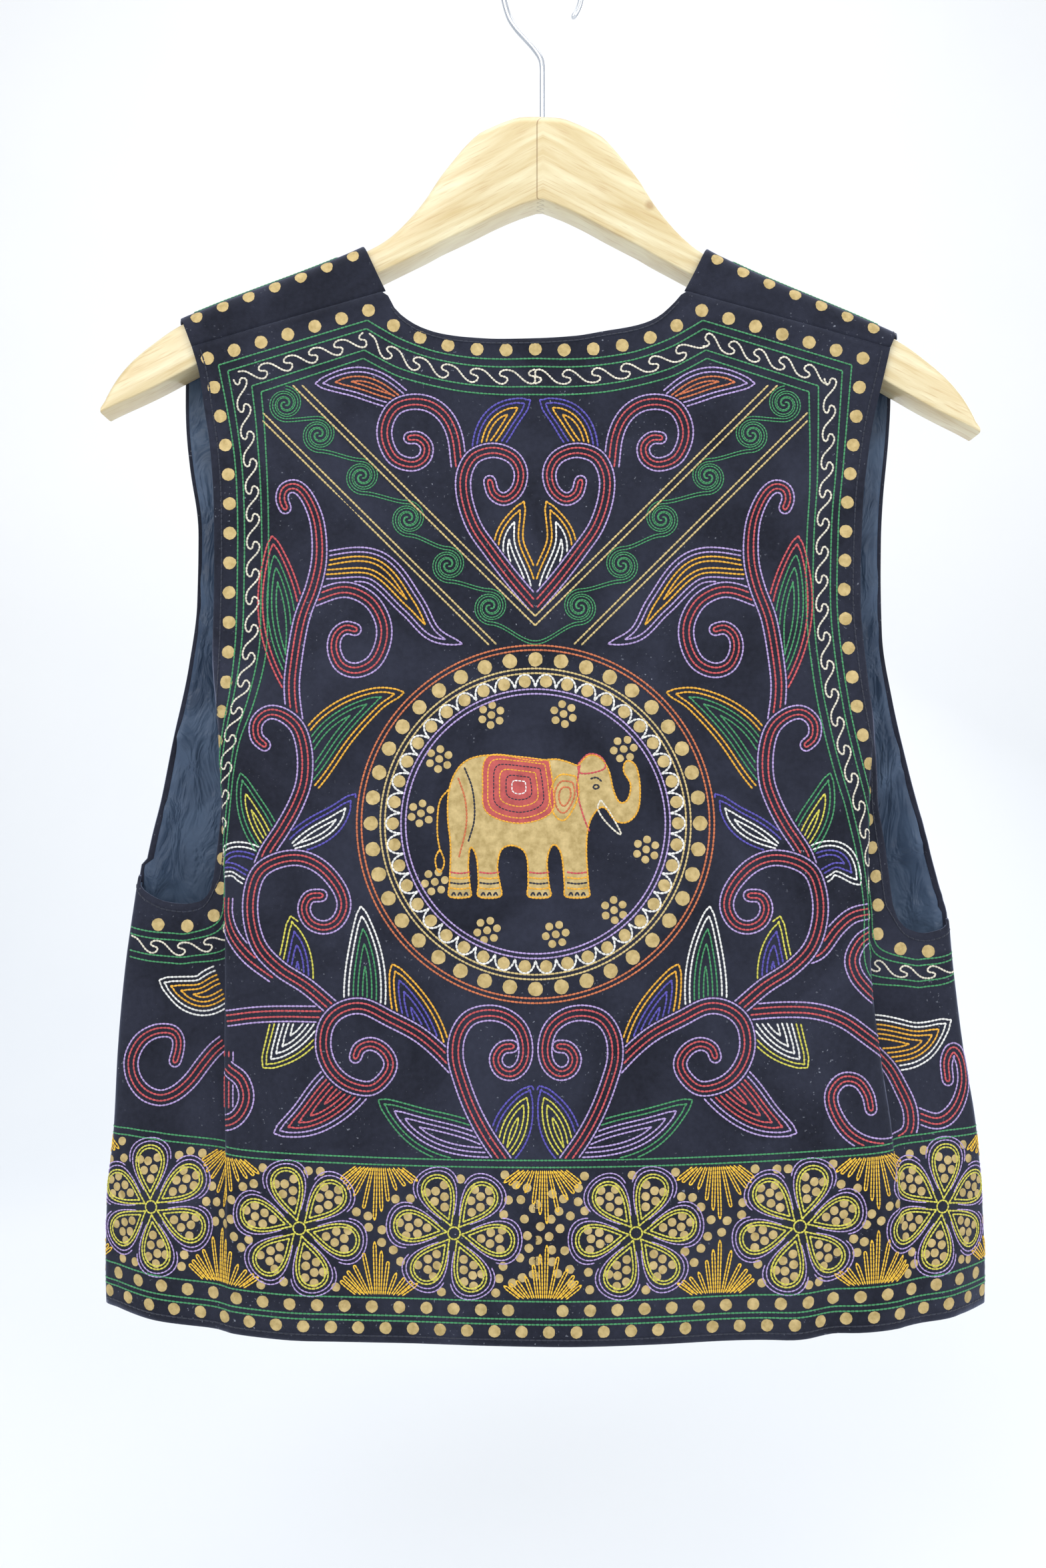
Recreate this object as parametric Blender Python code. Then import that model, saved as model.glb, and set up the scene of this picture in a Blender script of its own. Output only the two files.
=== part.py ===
"""An embroidered velvet vest on a wooden hanger, seen from its back.

Metres, +Z up. The origin is the point inside the top of the hook where the rod bears.
The back of the vest faces -Y and its open fronts face +Y. The left side is at -X.
"""

import math

import bmesh
import bpy
import numpy as np

MM = 0.001
GAP = 0.3 * MM
VELVET_WALL = 1.2 * MM
LINING_WALL = 1.0 * MM
EDGE_ALLOWANCE = 2.0 * MM
LEFT = -1
RIGHT = 1
SIDE_NAMES = {LEFT: "left", RIGHT: "right"}

# Hanger: two mitred halves of a flat board, hung with its right end a little low
BOARD_THICKNESS = 18 * MM
BOARD_ROUNDING = 6 * MM
BOARD_CENTRE_X = -1.3 * MM
MITRE_X = -3.0 * MM
ROLL = 0.0227

# Hook: a steel wire bent once above the board
WIRE_RADIUS = 1.55 * MM
HOOK_RADIUS = 20.0 * MM
KINK_Z = -52.2 * MM
STEM_DEPTH = 24 * MM

# Vest
CENTRE_X = -4.0 * MM
NECK_HALF = 75.5 * MM
NECK_SEAM_Z = -175.5 * MM
CLOTH_OFF_BOARD = GAP + LINING_WALL + GAP + VELVET_WALL / 2
LINING_SHIFT = VELVET_WALL / 2 + GAP + LINING_WALL / 2
FREE_Z = -225 * MM
FREE_RUN = 80 * MM
HEM_Z = -700.5 * MM
HEM_RISE = 11 * MM
HEM_REACH = 215 * MM


def table(names, *rows):
    """Named columns, in metres, from rows in millimetres."""
    return {name: np.array(column) * MM for name, column in zip(names, zip(*rows))}


# The board's upper and lower edges, out from its centre
BOARD = table(
    ("out", "top", "under"),
    (0, -84, -127.5),
    (10, -84.5, -131),
    (17, -86.6, -134),
    (24, -89.6, -137.3),
    (31, -93.2, -141),
    (38, -99.8, -144.6),
    (44.5, -107.6, -147.8),
    (51, -116, -151),
    (58, -126.9, -155),
    (65, -135.8, -158.6),
    (72, -143.3, -162.2),
    (79, -149.2, -165.8),
    (86, -153.4, -169.5),
    (94, -157.3, -173.6),
    (104, -161.8, -178.8),
    (120, -168.5, -187),
    (140, -176.4, -197.4),
    (160, -184.4, -208),
    (172, -189.5, -214.4),
    (184, -195, -221),
    (196, -203.4, -227.6),
    (207, -212.6, -233.1),
    (214, -220.6, -236.4),
    (220, -230.4, -239.4),
    (223.4, -238.4, -241.2),
)

# Body sections: how far back and forward the cloth hangs, half widths from the centre line,
# where each side's deep fold turns, and how sharply it turns in tenths
BODY = table(
    ("z", "back_y", "front_y", "left_edge", "right_edge", "left_fold", "left_turn",
     "right_fold", "right_turn"),
    (-160, -11.2, 11.2, 209, 211, 184, 0, 188, 0),
    (-235, -11.3, 11.3, 208, 210, 180, 0, 184, 0),
    (-300, -14.2, 13.2, 198, 199, 164, 0, 170, 0),
    (-350, -16.5, 15.0, 194, 195, 160, 2, 167, 0),
    (-400, -18.8, 16.8, 195, 196, 158, 8, 167, 4),
    (-440, -20.4, 18.2, 198, 200, 156, 10, 166.5, 9),
    (-480, -21.8, 19.4, 204, 210, 154.5, 10, 166, 10),
    (-520, -23.2, 20.6, 209.5, 214, 154, 10, 167, 10),
    (-560, -24.6, 21.8, 213, 219, 154, 10, 171, 9),
    (-600, -26.2, 23.0, 215, 225.5, 153, 9, 176, 7),
    (-640, -27.6, 24.2, 218.5, 228.7, 151, 5, 178, 4),
    (-675, -28.6, 25.2, 219, 230, 149, 2.5, 178, 2),
    (-705, -29.2, 26.0, 218, 229.5, 148, 2, 177, 1.5),
)

# The armhole edge of the back, along the cloth from the centre back, down to where the
# curve under the arm begins
ARMHOLE_BACK = {
    LEFT: table(
        ("z", "along"),
        (-190, 178),
        (-203.5, 173.5),
        (-218, 169.5),
        (-235, 167),
        (-255, 164),
        (-285, 161.8),
        (-320, 161.4),
        (-355, 162.2),
        (-390, 164.5),
        (-420, 167),
        (-450, 170),
        (-472, 173),
    ),
    RIGHT: table(
        ("z", "along"),
        (-190, 182.5),
        (-204, 179.5),
        (-218, 176.3),
        (-238, 171.5),
        (-256, 168.4),
        (-285, 165),
        (-332, 163.3),
        (-366, 166),
        (-400, 171.8),
        (-433, 181),
        (-462, 188),
        (-486, 191.5),
    ),
}
# The curve under each arm, up to the side seam: distance along the cloth past that end of
# the back's edge, and height
UNDERARM = {
    LEFT: table(
        ("past", "z"),
        (0, -472),
        (2, -479.5),
        (7, -484.2),
        (15, -485.6),
        (24, -484.6),
        (34, -480),
        (43, -471),
        (48, -466),
    ),
    RIGHT: table(
        ("past", "z"),
        (0, -486),
        (2.5, -493),
        (8, -498.4),
        (16, -500.4),
        (24, -498.8),
        (31, -495),
        (37, -490.6),
    ),
}
# The armhole edge of each front, out from the centre line
ARMHOLE_FRONT = {
    LEFT: table(
        ("z", "out"),
        (-170, 182),
        (-198, 185.5),
        (-224, 183.6),
        (-260, 179.3),
        (-295, 175.4),
        (-330, 176.2),
        (-364, 180.7),
        (-399, 187.5),
        (-433, 193.5),
        (-451, 197.5),
        (-466, 200.5),
    ),
    RIGHT: table(
        ("z", "out"),
        (-170, 186),
        (-204, 186),
        (-224, 185),
        (-242, 182.9),
        (-277, 180.8),
        (-312, 180.4),
        (-346, 181.2),
        (-381, 186.3),
        (-416, 193.2),
        (-451, 201.5),
        (-478, 208.6),
        (-490.6, 211.5),
    ),
}
# The back neckline, from the centre line
NECKLINE = table(
    ("out", "z"),
    (-75.5, -175.5),
    (-70.8, -184.5),
    (-65, -189.8),
    (-57.7, -194),
    (-47.7, -197.2),
    (-35, -199),
    (-18, -199.9),
    (0, -199.6),
    (20, -198.4),
    (36, -195.8),
    (47, -194),
    (55, -192),
    (62, -188.8),
    (69.5, -182.4),
    (75.5, -175.5),
)
# The neck and centre edge of each front, from the centre line
FRONT_EDGE = table(
    ("z", "out"),
    (-153, 90),
    (-200, 81),
    (-250, 64),
    (-300, 46),
    (-345, 28),
    (-385, 13),
    (-410, 8.5),
    (-450, 7.5),
    (-560, 8.5),
    (-705, 12),
)
# Soft waves in the lower part: place from the centre line, half width, height at the hem,
# and the height where the wave has died out
BACK_WAVES = table(
    ("out", "reach", "height", "top"),
    (-118, 17, 1.6, -560),
    (-60, 26, -1.2, -590),
    (20, 30, 1.3, -600),
    (92, 22, -1.4, -570),
    (128, 11, 2.6, -600),
    (147, 9, -2.6, -610),
)
FRONT_WAVES = table(
    ("out", "reach", "height", "top"),
    (-150, 20, 2.5, -480),
    (-92, 18, -2.5, -440),
    (-40, 16, 2.8, -480),
    (46, 17, 2.6, -470),
    (98, 18, -2.4, -450),
    (158, 20, 2.4, -500),
)
# Shoulder seams lie a little way down the back, and these are their outer ends
SEAM_END_Z = {LEFT: -203.5 * MM, RIGHT: -204.1 * MM}

FACE_COLUMNS = (0.0, 0.15, 0.29, 0.4, 0.47, None, 0.66, 0.84, 1.0)
FOLD_COLUMNS = (4, 8, 11.5, 15, 19, 23.5)
FOLD_LEAD = 10 * MM
SIDE_COLUMNS = (0.2, 0.42, 0.64, 0.84, "rim", 1.0)
LOWER_ROWS = 9
BACK_UPPER_ROWS = 10
FRONT_UPPER_ROWS = 9
FRONT_COLUMNS = 8
SEAM_LEAD = 9 * MM
SECTION_STEPS = 10
LEVEL_STEP = 3 * MM


def eased(keys, values, at):
    """A smooth value between rows that never passes them, level past the first and last."""
    if keys[0] > keys[-1]:
        keys, values = keys[::-1], values[::-1]
    at = np.clip(at, keys[0], keys[-1])
    grades = np.diff(values) / np.diff(keys)
    before, after = grades[:-1], grades[1:]
    same_way = before * after > 0
    slopes = np.zeros(len(keys))
    slopes[0], slopes[-1] = grades[0], grades[-1]
    slopes[1:-1][same_way] = (2 * before * after)[same_way] / (before + after)[same_way]
    low = np.clip(np.searchsorted(keys, at, side="right") - 1, 0, len(keys) - 2)
    span = keys[low + 1] - keys[low]
    t = (at - keys[low]) / span
    rise = values[low + 1] - values[low]
    start, end = slopes[low] * span, slopes[low + 1] * span
    return values[low] + t * start + t**2 * (3 * rise - 2 * start - end) + t**3 * (start + end - 2 * rise)


def smooth_step(value):
    value = np.clip(value, 0, 1)
    return value * value * (3 - 2 * value)


def board_height(edge, x):
    """Height of the board's top or under edge at x."""
    out = abs(x - BOARD_CENTRE_X)
    return float(eased(BOARD["out"], BOARD[edge], out)) - ROLL * (x - BOARD_CENTRE_X)


def body(column, z):
    return float(eased(BODY["z"], BODY[column], z))


def waves(rows, x, z):
    """How far the soft waves of the lower part move the cloth outwards."""
    total = 0.0
    for out, reach, height, top in zip(rows["out"], rows["reach"], rows["height"], rows["top"]):
        grown = smooth_step((top - z) / (top - HEM_Z))
        total += height * grown * math.exp(-(((x - CENTRE_X - out) / reach) ** 2))
    return total


SECTIONS = {}


def between_levels(z, read):
    """What read says at height z, mixed from the two section levels beside it."""
    level = z / LEVEL_STEP
    low = math.floor(level)
    return read(low) * (low + 1 - level) + read(low + 1) * (level - low)


def section(side, level):
    """One side's cloth at a level, from the centre back round to the centre front edge.

    Returns the distance along the cloth, x and y of its points, and the number of the
    point at the side's outermost place.
    """
    key = (side, level)
    if key in SECTIONS:
        return SECTIONS[key]
    z = level * LEVEL_STEP
    name = SIDE_NAMES[side]
    back, front = body("back_y", z), body("front_y", z)
    edge, fold = body(name + "_edge", z), body(name + "_fold", z)
    turn = body(name + "_turn", z) / (10 * MM)
    middle = 0.5 * (back + front)
    deep = back + (8 + 8 * turn) * MM
    opening = float(eased(FRONT_EDGE["z"], FRONT_EDGE["out"], z))
    opening = min(opening, 60 * MM)
    free = smooth_step((FREE_Z - z) / FREE_RUN)
    plain = (
        (fold, back + 1.2 * MM * free),
        (fold + 7 * MM, back + 2.6 * MM * free),
        (fold + 15 * MM, back + 4.4 * MM * free),
    )
    turned = (
        (fold, back + 4.2 * MM),
        (fold - 1.2 * MM, back + 9.6 * MM),
        (fold + 6.5 * MM, back + 14.2 * MM),
    )
    turns = [tuple(p + (q - p) * turn for p, q in zip(*pair)) for pair in zip(plain, turned)]
    points = [(0, back), (0.36 * fold, back), (0.72 * fold, back), (fold - 13 * MM, back + 0.3 * MM)]
    points += turns
    points += [
        (fold + 0.6 * (edge - fold), min(deep, middle - 5 * MM)),
        (edge - 3.5 * MM, middle - 4.5 * MM),
        (edge, middle + 1 * MM),
        (edge - 4 * MM, middle + 7 * MM),
        (edge - 19 * MM, front - 3.5 * MM * free),
        (0.72 * edge, front),
        (0.45 * edge, front),
        (opening, front),
    ]
    widest = 9
    ends = [(-points[1][0], points[1][1])] + points + [(2 * opening - points[-2][0], front)]
    curve = [points[0]]
    for before, start, end, after in zip(ends, ends[1:], ends[2:], ends[3:]):
        for step in range(1, SECTION_STEPS + 1):
            t = step / SECTION_STEPS
            curve.append(tuple(
                0.5 * (2 * q + t * (r - p) + t * t * (2 * p - 5 * q + 4 * r - w) + t**3 * (3 * q - p - 3 * r + w))
                for p, q, r, w in zip(before, start, end, after)
            ))
    outs, ys = np.array(curve).T
    xs = CENTRE_X + side * outs
    seam = widest * SECTION_STEPS
    for index, x in enumerate(xs):
        if index < seam - SECTION_STEPS:
            ys[index] -= waves(BACK_WAVES, x, z)
        elif index > seam + SECTION_STEPS:
            ys[index] += waves(FRONT_WAVES, x, z)
    along = np.concatenate([[0], np.cumsum(np.hypot(np.diff(xs), np.diff(ys)))])
    SECTIONS[key] = (along, xs, ys, seam)
    return SECTIONS[key]


def hung_point(side, along, z):
    """The middle of the velvet wall, at a distance along the cloth from the centre back."""

    def place(level):
        distance, xs, ys, _ = section(side, level)
        return np.array([np.interp(along, distance, xs), np.interp(along, distance, ys), level * LEVEL_STEP])

    return between_levels(z, place)


def hung(side, along, z):
    """A point of the hung cloth, and the way that it faces."""
    step = 0.8 * MM
    across = hung_point(side, along + step, z) - hung_point(side, max(along - step, 0), z)
    up = hung_point(side, along, z + step) - hung_point(side, along, z - step)
    out = np.cross(across, up) * side
    return hung_point(side, along, z), out / np.linalg.norm(out)


def along_at(side, out, z):
    """Distance along the cloth to a place on the front, out from the centre line."""

    def distance_at(level):
        distance, xs, _, widest = section(side, level)
        outs = side * (xs[widest:] - CENTRE_X)
        return float(np.interp(-out, -outs, distance[widest:]))

    return between_levels(z, distance_at)


def seam_along(side, z):
    """Distance along the cloth from the centre back to the side seam."""

    def widest_distance(level):
        distance, _, _, widest = section(side, level)
        return float(distance[widest])

    return between_levels(z, widest_distance)


def over_board_point(x, path):
    """The middle of the velvet wall over the board, at a distance past the board's ridge."""
    flat = BOARD_THICKNESS / 2 - BOARD_ROUNDING
    radius = BOARD_ROUNDING + CLOTH_OFF_BOARD
    ridge = board_height("top", x) + CLOTH_OFF_BOARD * 1.1
    way = math.copysign(1, path)
    distance = abs(path)
    if distance <= flat:
        return np.array([x, path, ridge])
    if distance <= flat + radius * math.pi / 2:
        angle = (distance - flat) / radius
        return np.array([x, way * (flat + radius * math.sin(angle)), ridge - radius * (1 - math.cos(angle))])
    return np.array([x, way * (flat + radius), ridge - radius - (distance - flat - radius * math.pi / 2)])


OVER_END = BOARD_THICKNESS / 2 - BOARD_ROUNDING + (BOARD_ROUNDING + CLOTH_OFF_BOARD) * math.pi / 2


def over_board(x, path):
    """A point of the cloth over the board, and the way that it faces."""
    step = 0.5 * MM
    across = over_board_point(x + step, path) - over_board_point(x - step, path)
    forward = over_board_point(x, path + step) - over_board_point(x, path - step)
    out = np.cross(across, forward)
    return over_board_point(x, path), out / np.linalg.norm(out)


def hem_height(out):
    """Height of the hem, which rises a little towards the sides."""
    share = min(out / HEM_REACH, 1.0)
    return HEM_Z + HEM_RISE * share**2


def armhole_back(side, z):
    rows = ARMHOLE_BACK[side]
    return float(eased(rows["z"], rows["along"], z))


def split_height(side):
    """The height where the curve under the arm begins."""
    return float(ARMHOLE_BACK[side]["z"][-1])


def underarm(side, past):
    rows = UNDERARM[side]
    return float(eased(rows["past"], rows["z"], past))


def rim_points(faces):
    """Points on the rim of a sheet, whose edges belong to one face each."""
    edges = {(a, b) for face in faces for a, b in zip(face, face[1:] + face[:1])}
    return {point for a, b in edges if (b, a) not in edges for point in (a, b)}


def wall(name, sheet, shift, thickness, faces, material):
    """A solid wall of cloth on some faces of a sheet, closed along its rim."""
    mesh = bmesh.new()
    used = sorted({point for face in faces for point in face})
    outer, inner = {}, {}
    for point in used:
        place, way = sheet[point]
        outer[point] = mesh.verts.new(place + way * (shift + thickness / 2))
        inner[point] = mesh.verts.new(place + way * (shift - thickness / 2))
    edges = {(a, b) for face in faces for a, b in zip(face, face[1:] + face[:1])}
    for a, b, c, d in faces:
        for corners in ((a, b, c), (a, c, d)):
            mesh.faces.new([outer[i] for i in corners])
            mesh.faces.new([inner[i] for i in reversed(corners)])
    for a, b in sorted(edges):
        if (b, a) not in edges:
            mesh.faces.new([outer[b], outer[a], inner[a], inner[b]])
    bmesh.ops.recalc_face_normals(mesh, faces=mesh.faces)
    data = bpy.data.meshes.new(name)
    mesh.to_mesh(data)
    mesh.free()
    data.shade_smooth()
    data.set_sharp_from_angle(angle=math.radians(40))
    data.materials.append(material)
    item = bpy.data.objects.new(name, data)
    bpy.context.collection.objects.link(item)
    return item


def joined_grids(grids):
    """Faces over several grids of point numbers."""
    faces = []
    for grid in grids:
        for low, high in zip(grid, grid[1:]):
            for i in range(len(low) - 1):
                faces.append([low[i], low[i + 1], high[i + 1], high[i]])
    return faces


def rows_between(low, high, count):
    """Heights from low to high, with a row one edge allowance inside each end."""
    start, end = low + EDGE_ALLOWANCE, high - EDGE_ALLOWANCE
    return [low] + [start + (end - start) * i / count for i in range(count + 1)] + [high]


def back_levels(side):
    """Distances along the cloth of the face and fold columns at the split, edge last."""
    split = split_height(side)
    edge = armhole_back(side, split)
    face_end = body(SIDE_NAMES[side] + "_fold", split) - FOLD_LEAD
    neck_share = NECK_HALF / armhole_back(side, SEAM_END_Z[side])
    levels = [share * face_end if share is not None else neck_share * edge for share in FACE_COLUMNS]
    levels += [face_end + past * MM for past in FOLD_COLUMNS]
    return [value for value in levels if value < edge - 4 * MM] + [edge - EDGE_ALLOWANCE, edge]


def lower_along(side, z, value):
    """Where a column that starts at value on the split lies at a lower height."""
    name = SIDE_NAMES[side] + "_fold"
    fold, first = body(name, z), body(name, split_height(side))
    if value <= first - FOLD_LEAD:
        return value * (fold - FOLD_LEAD) / (first - FOLD_LEAD)
    return value + fold - first


def side_along(side, z, share):
    """Where a column between the back's armhole edge and the side seam lies."""
    start = lower_along(side, z, armhole_back(side, split_height(side)))
    end = seam_along(side, z) - GAP / 2
    if share == "rim":
        return end - EDGE_ALLOWANCE
    return start + share * (end - EDGE_ALLOWANCE - start) if share < 1 else end


def back_sheet():
    """The back, in one piece from side seam to side seam, as points and faces."""
    sheet, order = [], []
    for side in (LEFT, RIGHT):
        columns = [(side, "level", value) for value in back_levels(side)]
        columns += [(side, "side", share) for share in SIDE_COLUMNS]
        order = columns[:0:-1] if side == LEFT else order + columns
    middle = 0.5 * (split_height(LEFT) + split_height(RIGHT))

    def along(column, z):
        side, kind, value = column
        return lower_along(side, z, value) if kind == "level" else side_along(side, z, value)

    def top_of(column):
        side, kind, value = column
        edge = armhole_back(side, split_height(side))
        if kind == "level":
            return middle + (split_height(side) - middle) * value / edge
        top = split_height(side)
        for _ in range(6):
            top = underarm(side, along(column, top) - edge)
        return top

    def add(side, distance, z):
        sheet.append(hung(side, distance, z))
        return len(sheet) - 1

    lower = []
    for column in order:
        heights = rows_between(hem_height(along(column, HEM_Z)), top_of(column), LOWER_ROWS)
        lower.append([add(column[0], along(column, z), z) for z in heights])
    upper = []
    for column, points in zip(order, lower):
        side, kind, value = column
        if kind != "level":
            continue
        share = value / armhole_back(side, split_height(side))
        heights = rows_between(top_of(column), back_top(side, share), BACK_UPPER_ROWS)[2:]
        upper.append([points[-1]] + [add(side, share * armhole_back(side, z), z) for z in heights])
    grids = [[list(row) for row in zip(*block)] for block in (lower, upper)]
    return sheet, joined_grids(grids)


def seam_height(side, out):
    """Height of the shoulder seam at a distance from the centre line."""
    run = (out - NECK_HALF) / (armhole_back(side, SEAM_END_Z[side]) - NECK_HALF)
    return NECK_SEAM_Z + run * (SEAM_END_Z[side] - NECK_SEAM_Z)


def back_top(side, share):
    """Height of the shoulder seam or the neckline above a column of the back."""
    top = NECK_SEAM_Z
    for _ in range(6):
        out = share * armhole_back(side, top)
        if out >= NECK_HALF - 0.01 * MM:
            top = seam_height(side, out) - GAP / 2
        else:
            top = float(eased(NECKLINE["out"], NECKLINE["z"], side * out))
    return top


def front_sheet(side):
    """One front: from its shoulder seam on the back, over the board and down to the hem."""
    sheet = []
    split = float(ARMHOLE_FRONT[side]["z"][-1])
    ridge_neck = float(FRONT_EDGE["out"][0])
    ridge_end = float(ARMHOLE_FRONT[side]["out"][0])
    seam_end = armhole_back(side, SEAM_END_Z[side])
    columns = [(0, 0), (0, EDGE_ALLOWANCE)]
    columns += [(i / FRONT_COLUMNS, 0) for i in range(1, FRONT_COLUMNS)]
    columns += [(1, -SEAM_LEAD), (1, -EDGE_ALLOWANCE), (1, 0)]

    def add(make, *place):
        sheet.append(make(*place))
        return len(sheet) - 1

    def out_at(column, neck, arm):
        share, shift = column
        return neck + share * (arm - neck) + shift

    def front_edge(z):
        return float(eased(FRONT_EDGE["z"], FRONT_EDGE["out"], z))

    arc = (BOARD_ROUNDING + CLOTH_OFF_BOARD) * math.pi / 2
    flat = BOARD_THICKNESS / 2 - BOARD_ROUNDING
    overs = []
    for column in columns:
        out = out_at(column, NECK_HALF, seam_end)
        x = CENTRE_X + side * out
        drop = over_board_point(x, -OVER_END)[2] - seam_height(side, out) - GAP / 2
        behind = min(arc, arc + drop - EDGE_ALLOWANCE - 1 * MM)
        line = [add(over_board, x, -OVER_END - drop + rise) for rise in (0, EDGE_ALLOWANCE)]
        turns = [-flat - behind * part / 4 for part in (4, 3, 2, 1, 0)]
        turns += [flat + arc * part / 4 for part in range(5)]
        for path in turns:
            climb = 0.45 + 0.55 * smooth_step((path + OVER_END + 6 * MM) / (OVER_END + 6 * MM))
            neck = NECK_HALF + (ridge_neck - NECK_HALF) * climb
            arm = seam_end + (ridge_end - seam_end) * climb
            line.append(add(over_board, CENTRE_X + side * out_at(column, neck, arm), path))
        overs.append(line)

    uppers = []
    for column, start in zip(columns, [line[-1] for line in overs]):
        start_z, start_out = sheet[start][0][2], out_at(column, ridge_neck, ridge_end)
        line = [start]
        for row in range(1, FRONT_UPPER_ROWS + 1):
            t = row / FRONT_UPPER_ROWS
            z = start_z + t * (split - start_z)
            arm = float(eased(ARMHOLE_FRONT[side]["z"], ARMHOLE_FRONT[side]["out"], z))
            settle = smooth_step(t * FRONT_UPPER_ROWS / 3)
            out = start_out + (out_at(column, front_edge(z), arm) - start_out) * settle
            line.append(add(hung, side, along_at(side, out, z), z))
        uppers.append(line)

    seam = seam_along(side, split) + GAP / 2
    centre = along_at(side, front_edge(split), split)
    arm = float(ARMHOLE_FRONT[side]["out"][-1])
    lowers = []
    for column, line in zip(columns, uppers):
        if column == (1, 0):
            share = 0
        else:
            share = (along_at(side, out_at(column, front_edge(split), arm), split) - seam) / (centre - seam)
        heights = rows_between(hem_height(HEM_REACH * (1 - share)), split, LOWER_ROWS)[:-1]
        points = []
        for z in heights:
            seam_here = seam_along(side, z) + GAP / 2
            centre_here = along_at(side, front_edge(z), z)
            points.append(add(hung, side, seam_here + share * (centre_here - seam_here), z))
        lowers.append(points + [line[-1]])
    lowers = [line[::-1] for line in lowers]
    grids = [[list(row) for row in zip(*block)] for block in (overs, uppers, lowers)]
    return sheet, joined_grids(grids)


def board_half(side, material):
    """One half of the hanger's board, mitred at the middle, rounded along its top."""
    rounding = [math.radians(angle) for angle in (0, 22.5, 45, 67.5, 90)]
    half = BOARD_THICKNESS / 2
    mesh = bmesh.new()
    rings = []
    outs = list(BOARD["out"])
    outs[0] = side * (MITRE_X - BOARD_CENTRE_X) + GAP / 2
    for out in outs:
        x = BOARD_CENTRE_X + side * out
        top, under = board_height("top", x), board_height("under", x)
        thin = min(half, 6 * MM + 2.0 * math.sqrt(max(BOARD["out"][-1] - out, 0) * half))
        radius = min(BOARD_ROUNDING, 0.85 * (top - under), thin - 0.5 * MM)
        ring = [(x, -thin, under)]
        ring += [(x, -thin + radius * (1 - math.cos(a)), top - radius * (1 - math.sin(a))) for a in rounding]
        ring += [(x, thin - radius * (1 - math.cos(a)), top - radius * (1 - math.sin(a))) for a in rounding[::-1]]
        ring += [(x, thin, under)]
        rings.append([mesh.verts.new(point) for point in ring])
    for first, second in zip(rings, rings[1:]):
        for i in range(len(first)):
            j = (i + 1) % len(first)
            mesh.faces.new([first[i], first[j], second[j], second[i]])
    mesh.faces.new(rings[0])
    mesh.faces.new(rings[-1])
    bmesh.ops.recalc_face_normals(mesh, faces=mesh.faces)
    name = "hanger_arm_" + SIDE_NAMES[side]
    data = bpy.data.meshes.new(name)
    mesh.to_mesh(data)
    mesh.free()
    data.shade_smooth()
    data.set_sharp_from_angle(angle=math.radians(35))
    data.materials.append(material)
    item = bpy.data.objects.new(name, data)
    bpy.context.collection.objects.link(item)
    return item


def drill_stem_hole(arm):
    """The blind hole in the board's top that holds the hook's stem."""
    bpy.ops.mesh.primitive_cylinder_add(vertices=16, radius=WIRE_RADIUS + GAP, depth=2 * STEM_DEPTH)
    cutter = bpy.context.object
    cutter.name = "stem_hole_cutter"
    cutter.location = (0, 0, board_height("top", 0.0))
    cutter.hide_render = True
    cutter.display_type = "WIRE"
    hole = arm.modifiers.new("stem_hole", "BOOLEAN")
    hole.operation = "DIFFERENCE"
    hole.object = cutter


def hook_path():
    """Points up the stem, across the kink and round the hook to its plain end."""
    centre_z = WIRE_RADIUS - HOOK_RADIUS
    bottom = board_height("top", 0.0) - STEM_DEPTH + GAP
    points = [(0, bottom), (0, KINK_Z - 14 * MM), (0, KINK_Z - 5 * MM)]
    points += [(-1.0 * MM, KINK_Z + 0.4 * MM), (-4.6 * MM, KINK_Z + 5.8 * MM)]
    points += [(-9.2 * MM, KINK_Z + 10.9 * MM), (-13.4 * MM, KINK_Z + 15.6 * MM)]
    points += [(-17.0 * MM, KINK_Z + 21.2 * MM)]
    for degrees in range(194, -41, -13):
        angle = math.radians(degrees)
        points.append((HOOK_RADIUS * math.cos(angle), centre_z + HOOK_RADIUS * math.sin(angle)))
    return points


def hook(material):
    curve = bpy.data.curves.new("hanger_hook", "CURVE")
    curve.dimensions = "3D"
    curve.bevel_depth = WIRE_RADIUS
    curve.bevel_resolution = 3
    curve.use_fill_caps = True
    spline = curve.splines.new("POLY")
    points = hook_path()
    spline.points.add(len(points) - 1)
    for point, (x, z) in zip(spline.points, points):
        point.co = (x, 0, z, 1)
    curve.materials.append(material)
    item = bpy.data.objects.new("hanger_hook", curve)
    bpy.context.collection.objects.link(item)
    return item


def finish(name, colour, roughness, metallic=0.0):
    material = bpy.data.materials.new(name)
    material.use_nodes = True
    shader = material.node_tree.nodes["Principled BSDF"]
    shader.inputs["Base Color"].default_value = (*colour, 1)
    shader.inputs["Roughness"].default_value = roughness
    shader.inputs["Metallic"].default_value = metallic
    return material


def build():
    for item in list(bpy.data.objects):
        bpy.data.objects.remove(item)
    wood = finish("lacquered_wood", (0.74, 0.55, 0.28), 0.35)
    steel = finish("bright_wire", (0.75, 0.76, 0.78), 0.2, 1.0)
    velvet = finish("dark_velvet", (0.012, 0.014, 0.03), 0.9)
    satin = finish("slate_lining", (0.06, 0.09, 0.14), 0.45)
    arms = {side: board_half(side, wood) for side in (LEFT, RIGHT)}
    drill_stem_hole(arms[RIGHT])
    hook(steel)
    panels = {"back": back_sheet(), "front_left": front_sheet(LEFT), "front_right": front_sheet(RIGHT)}
    for name, (sheet, faces) in panels.items():
        rim = rim_points(faces)
        inside = [face for face in faces if not rim & set(face)]
        wall("velvet_" + name, sheet, 0.0, VELVET_WALL, faces, velvet)
        wall("lining_" + name, sheet, -LINING_SHIFT, LINING_WALL, inside, satin)


build()
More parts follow.
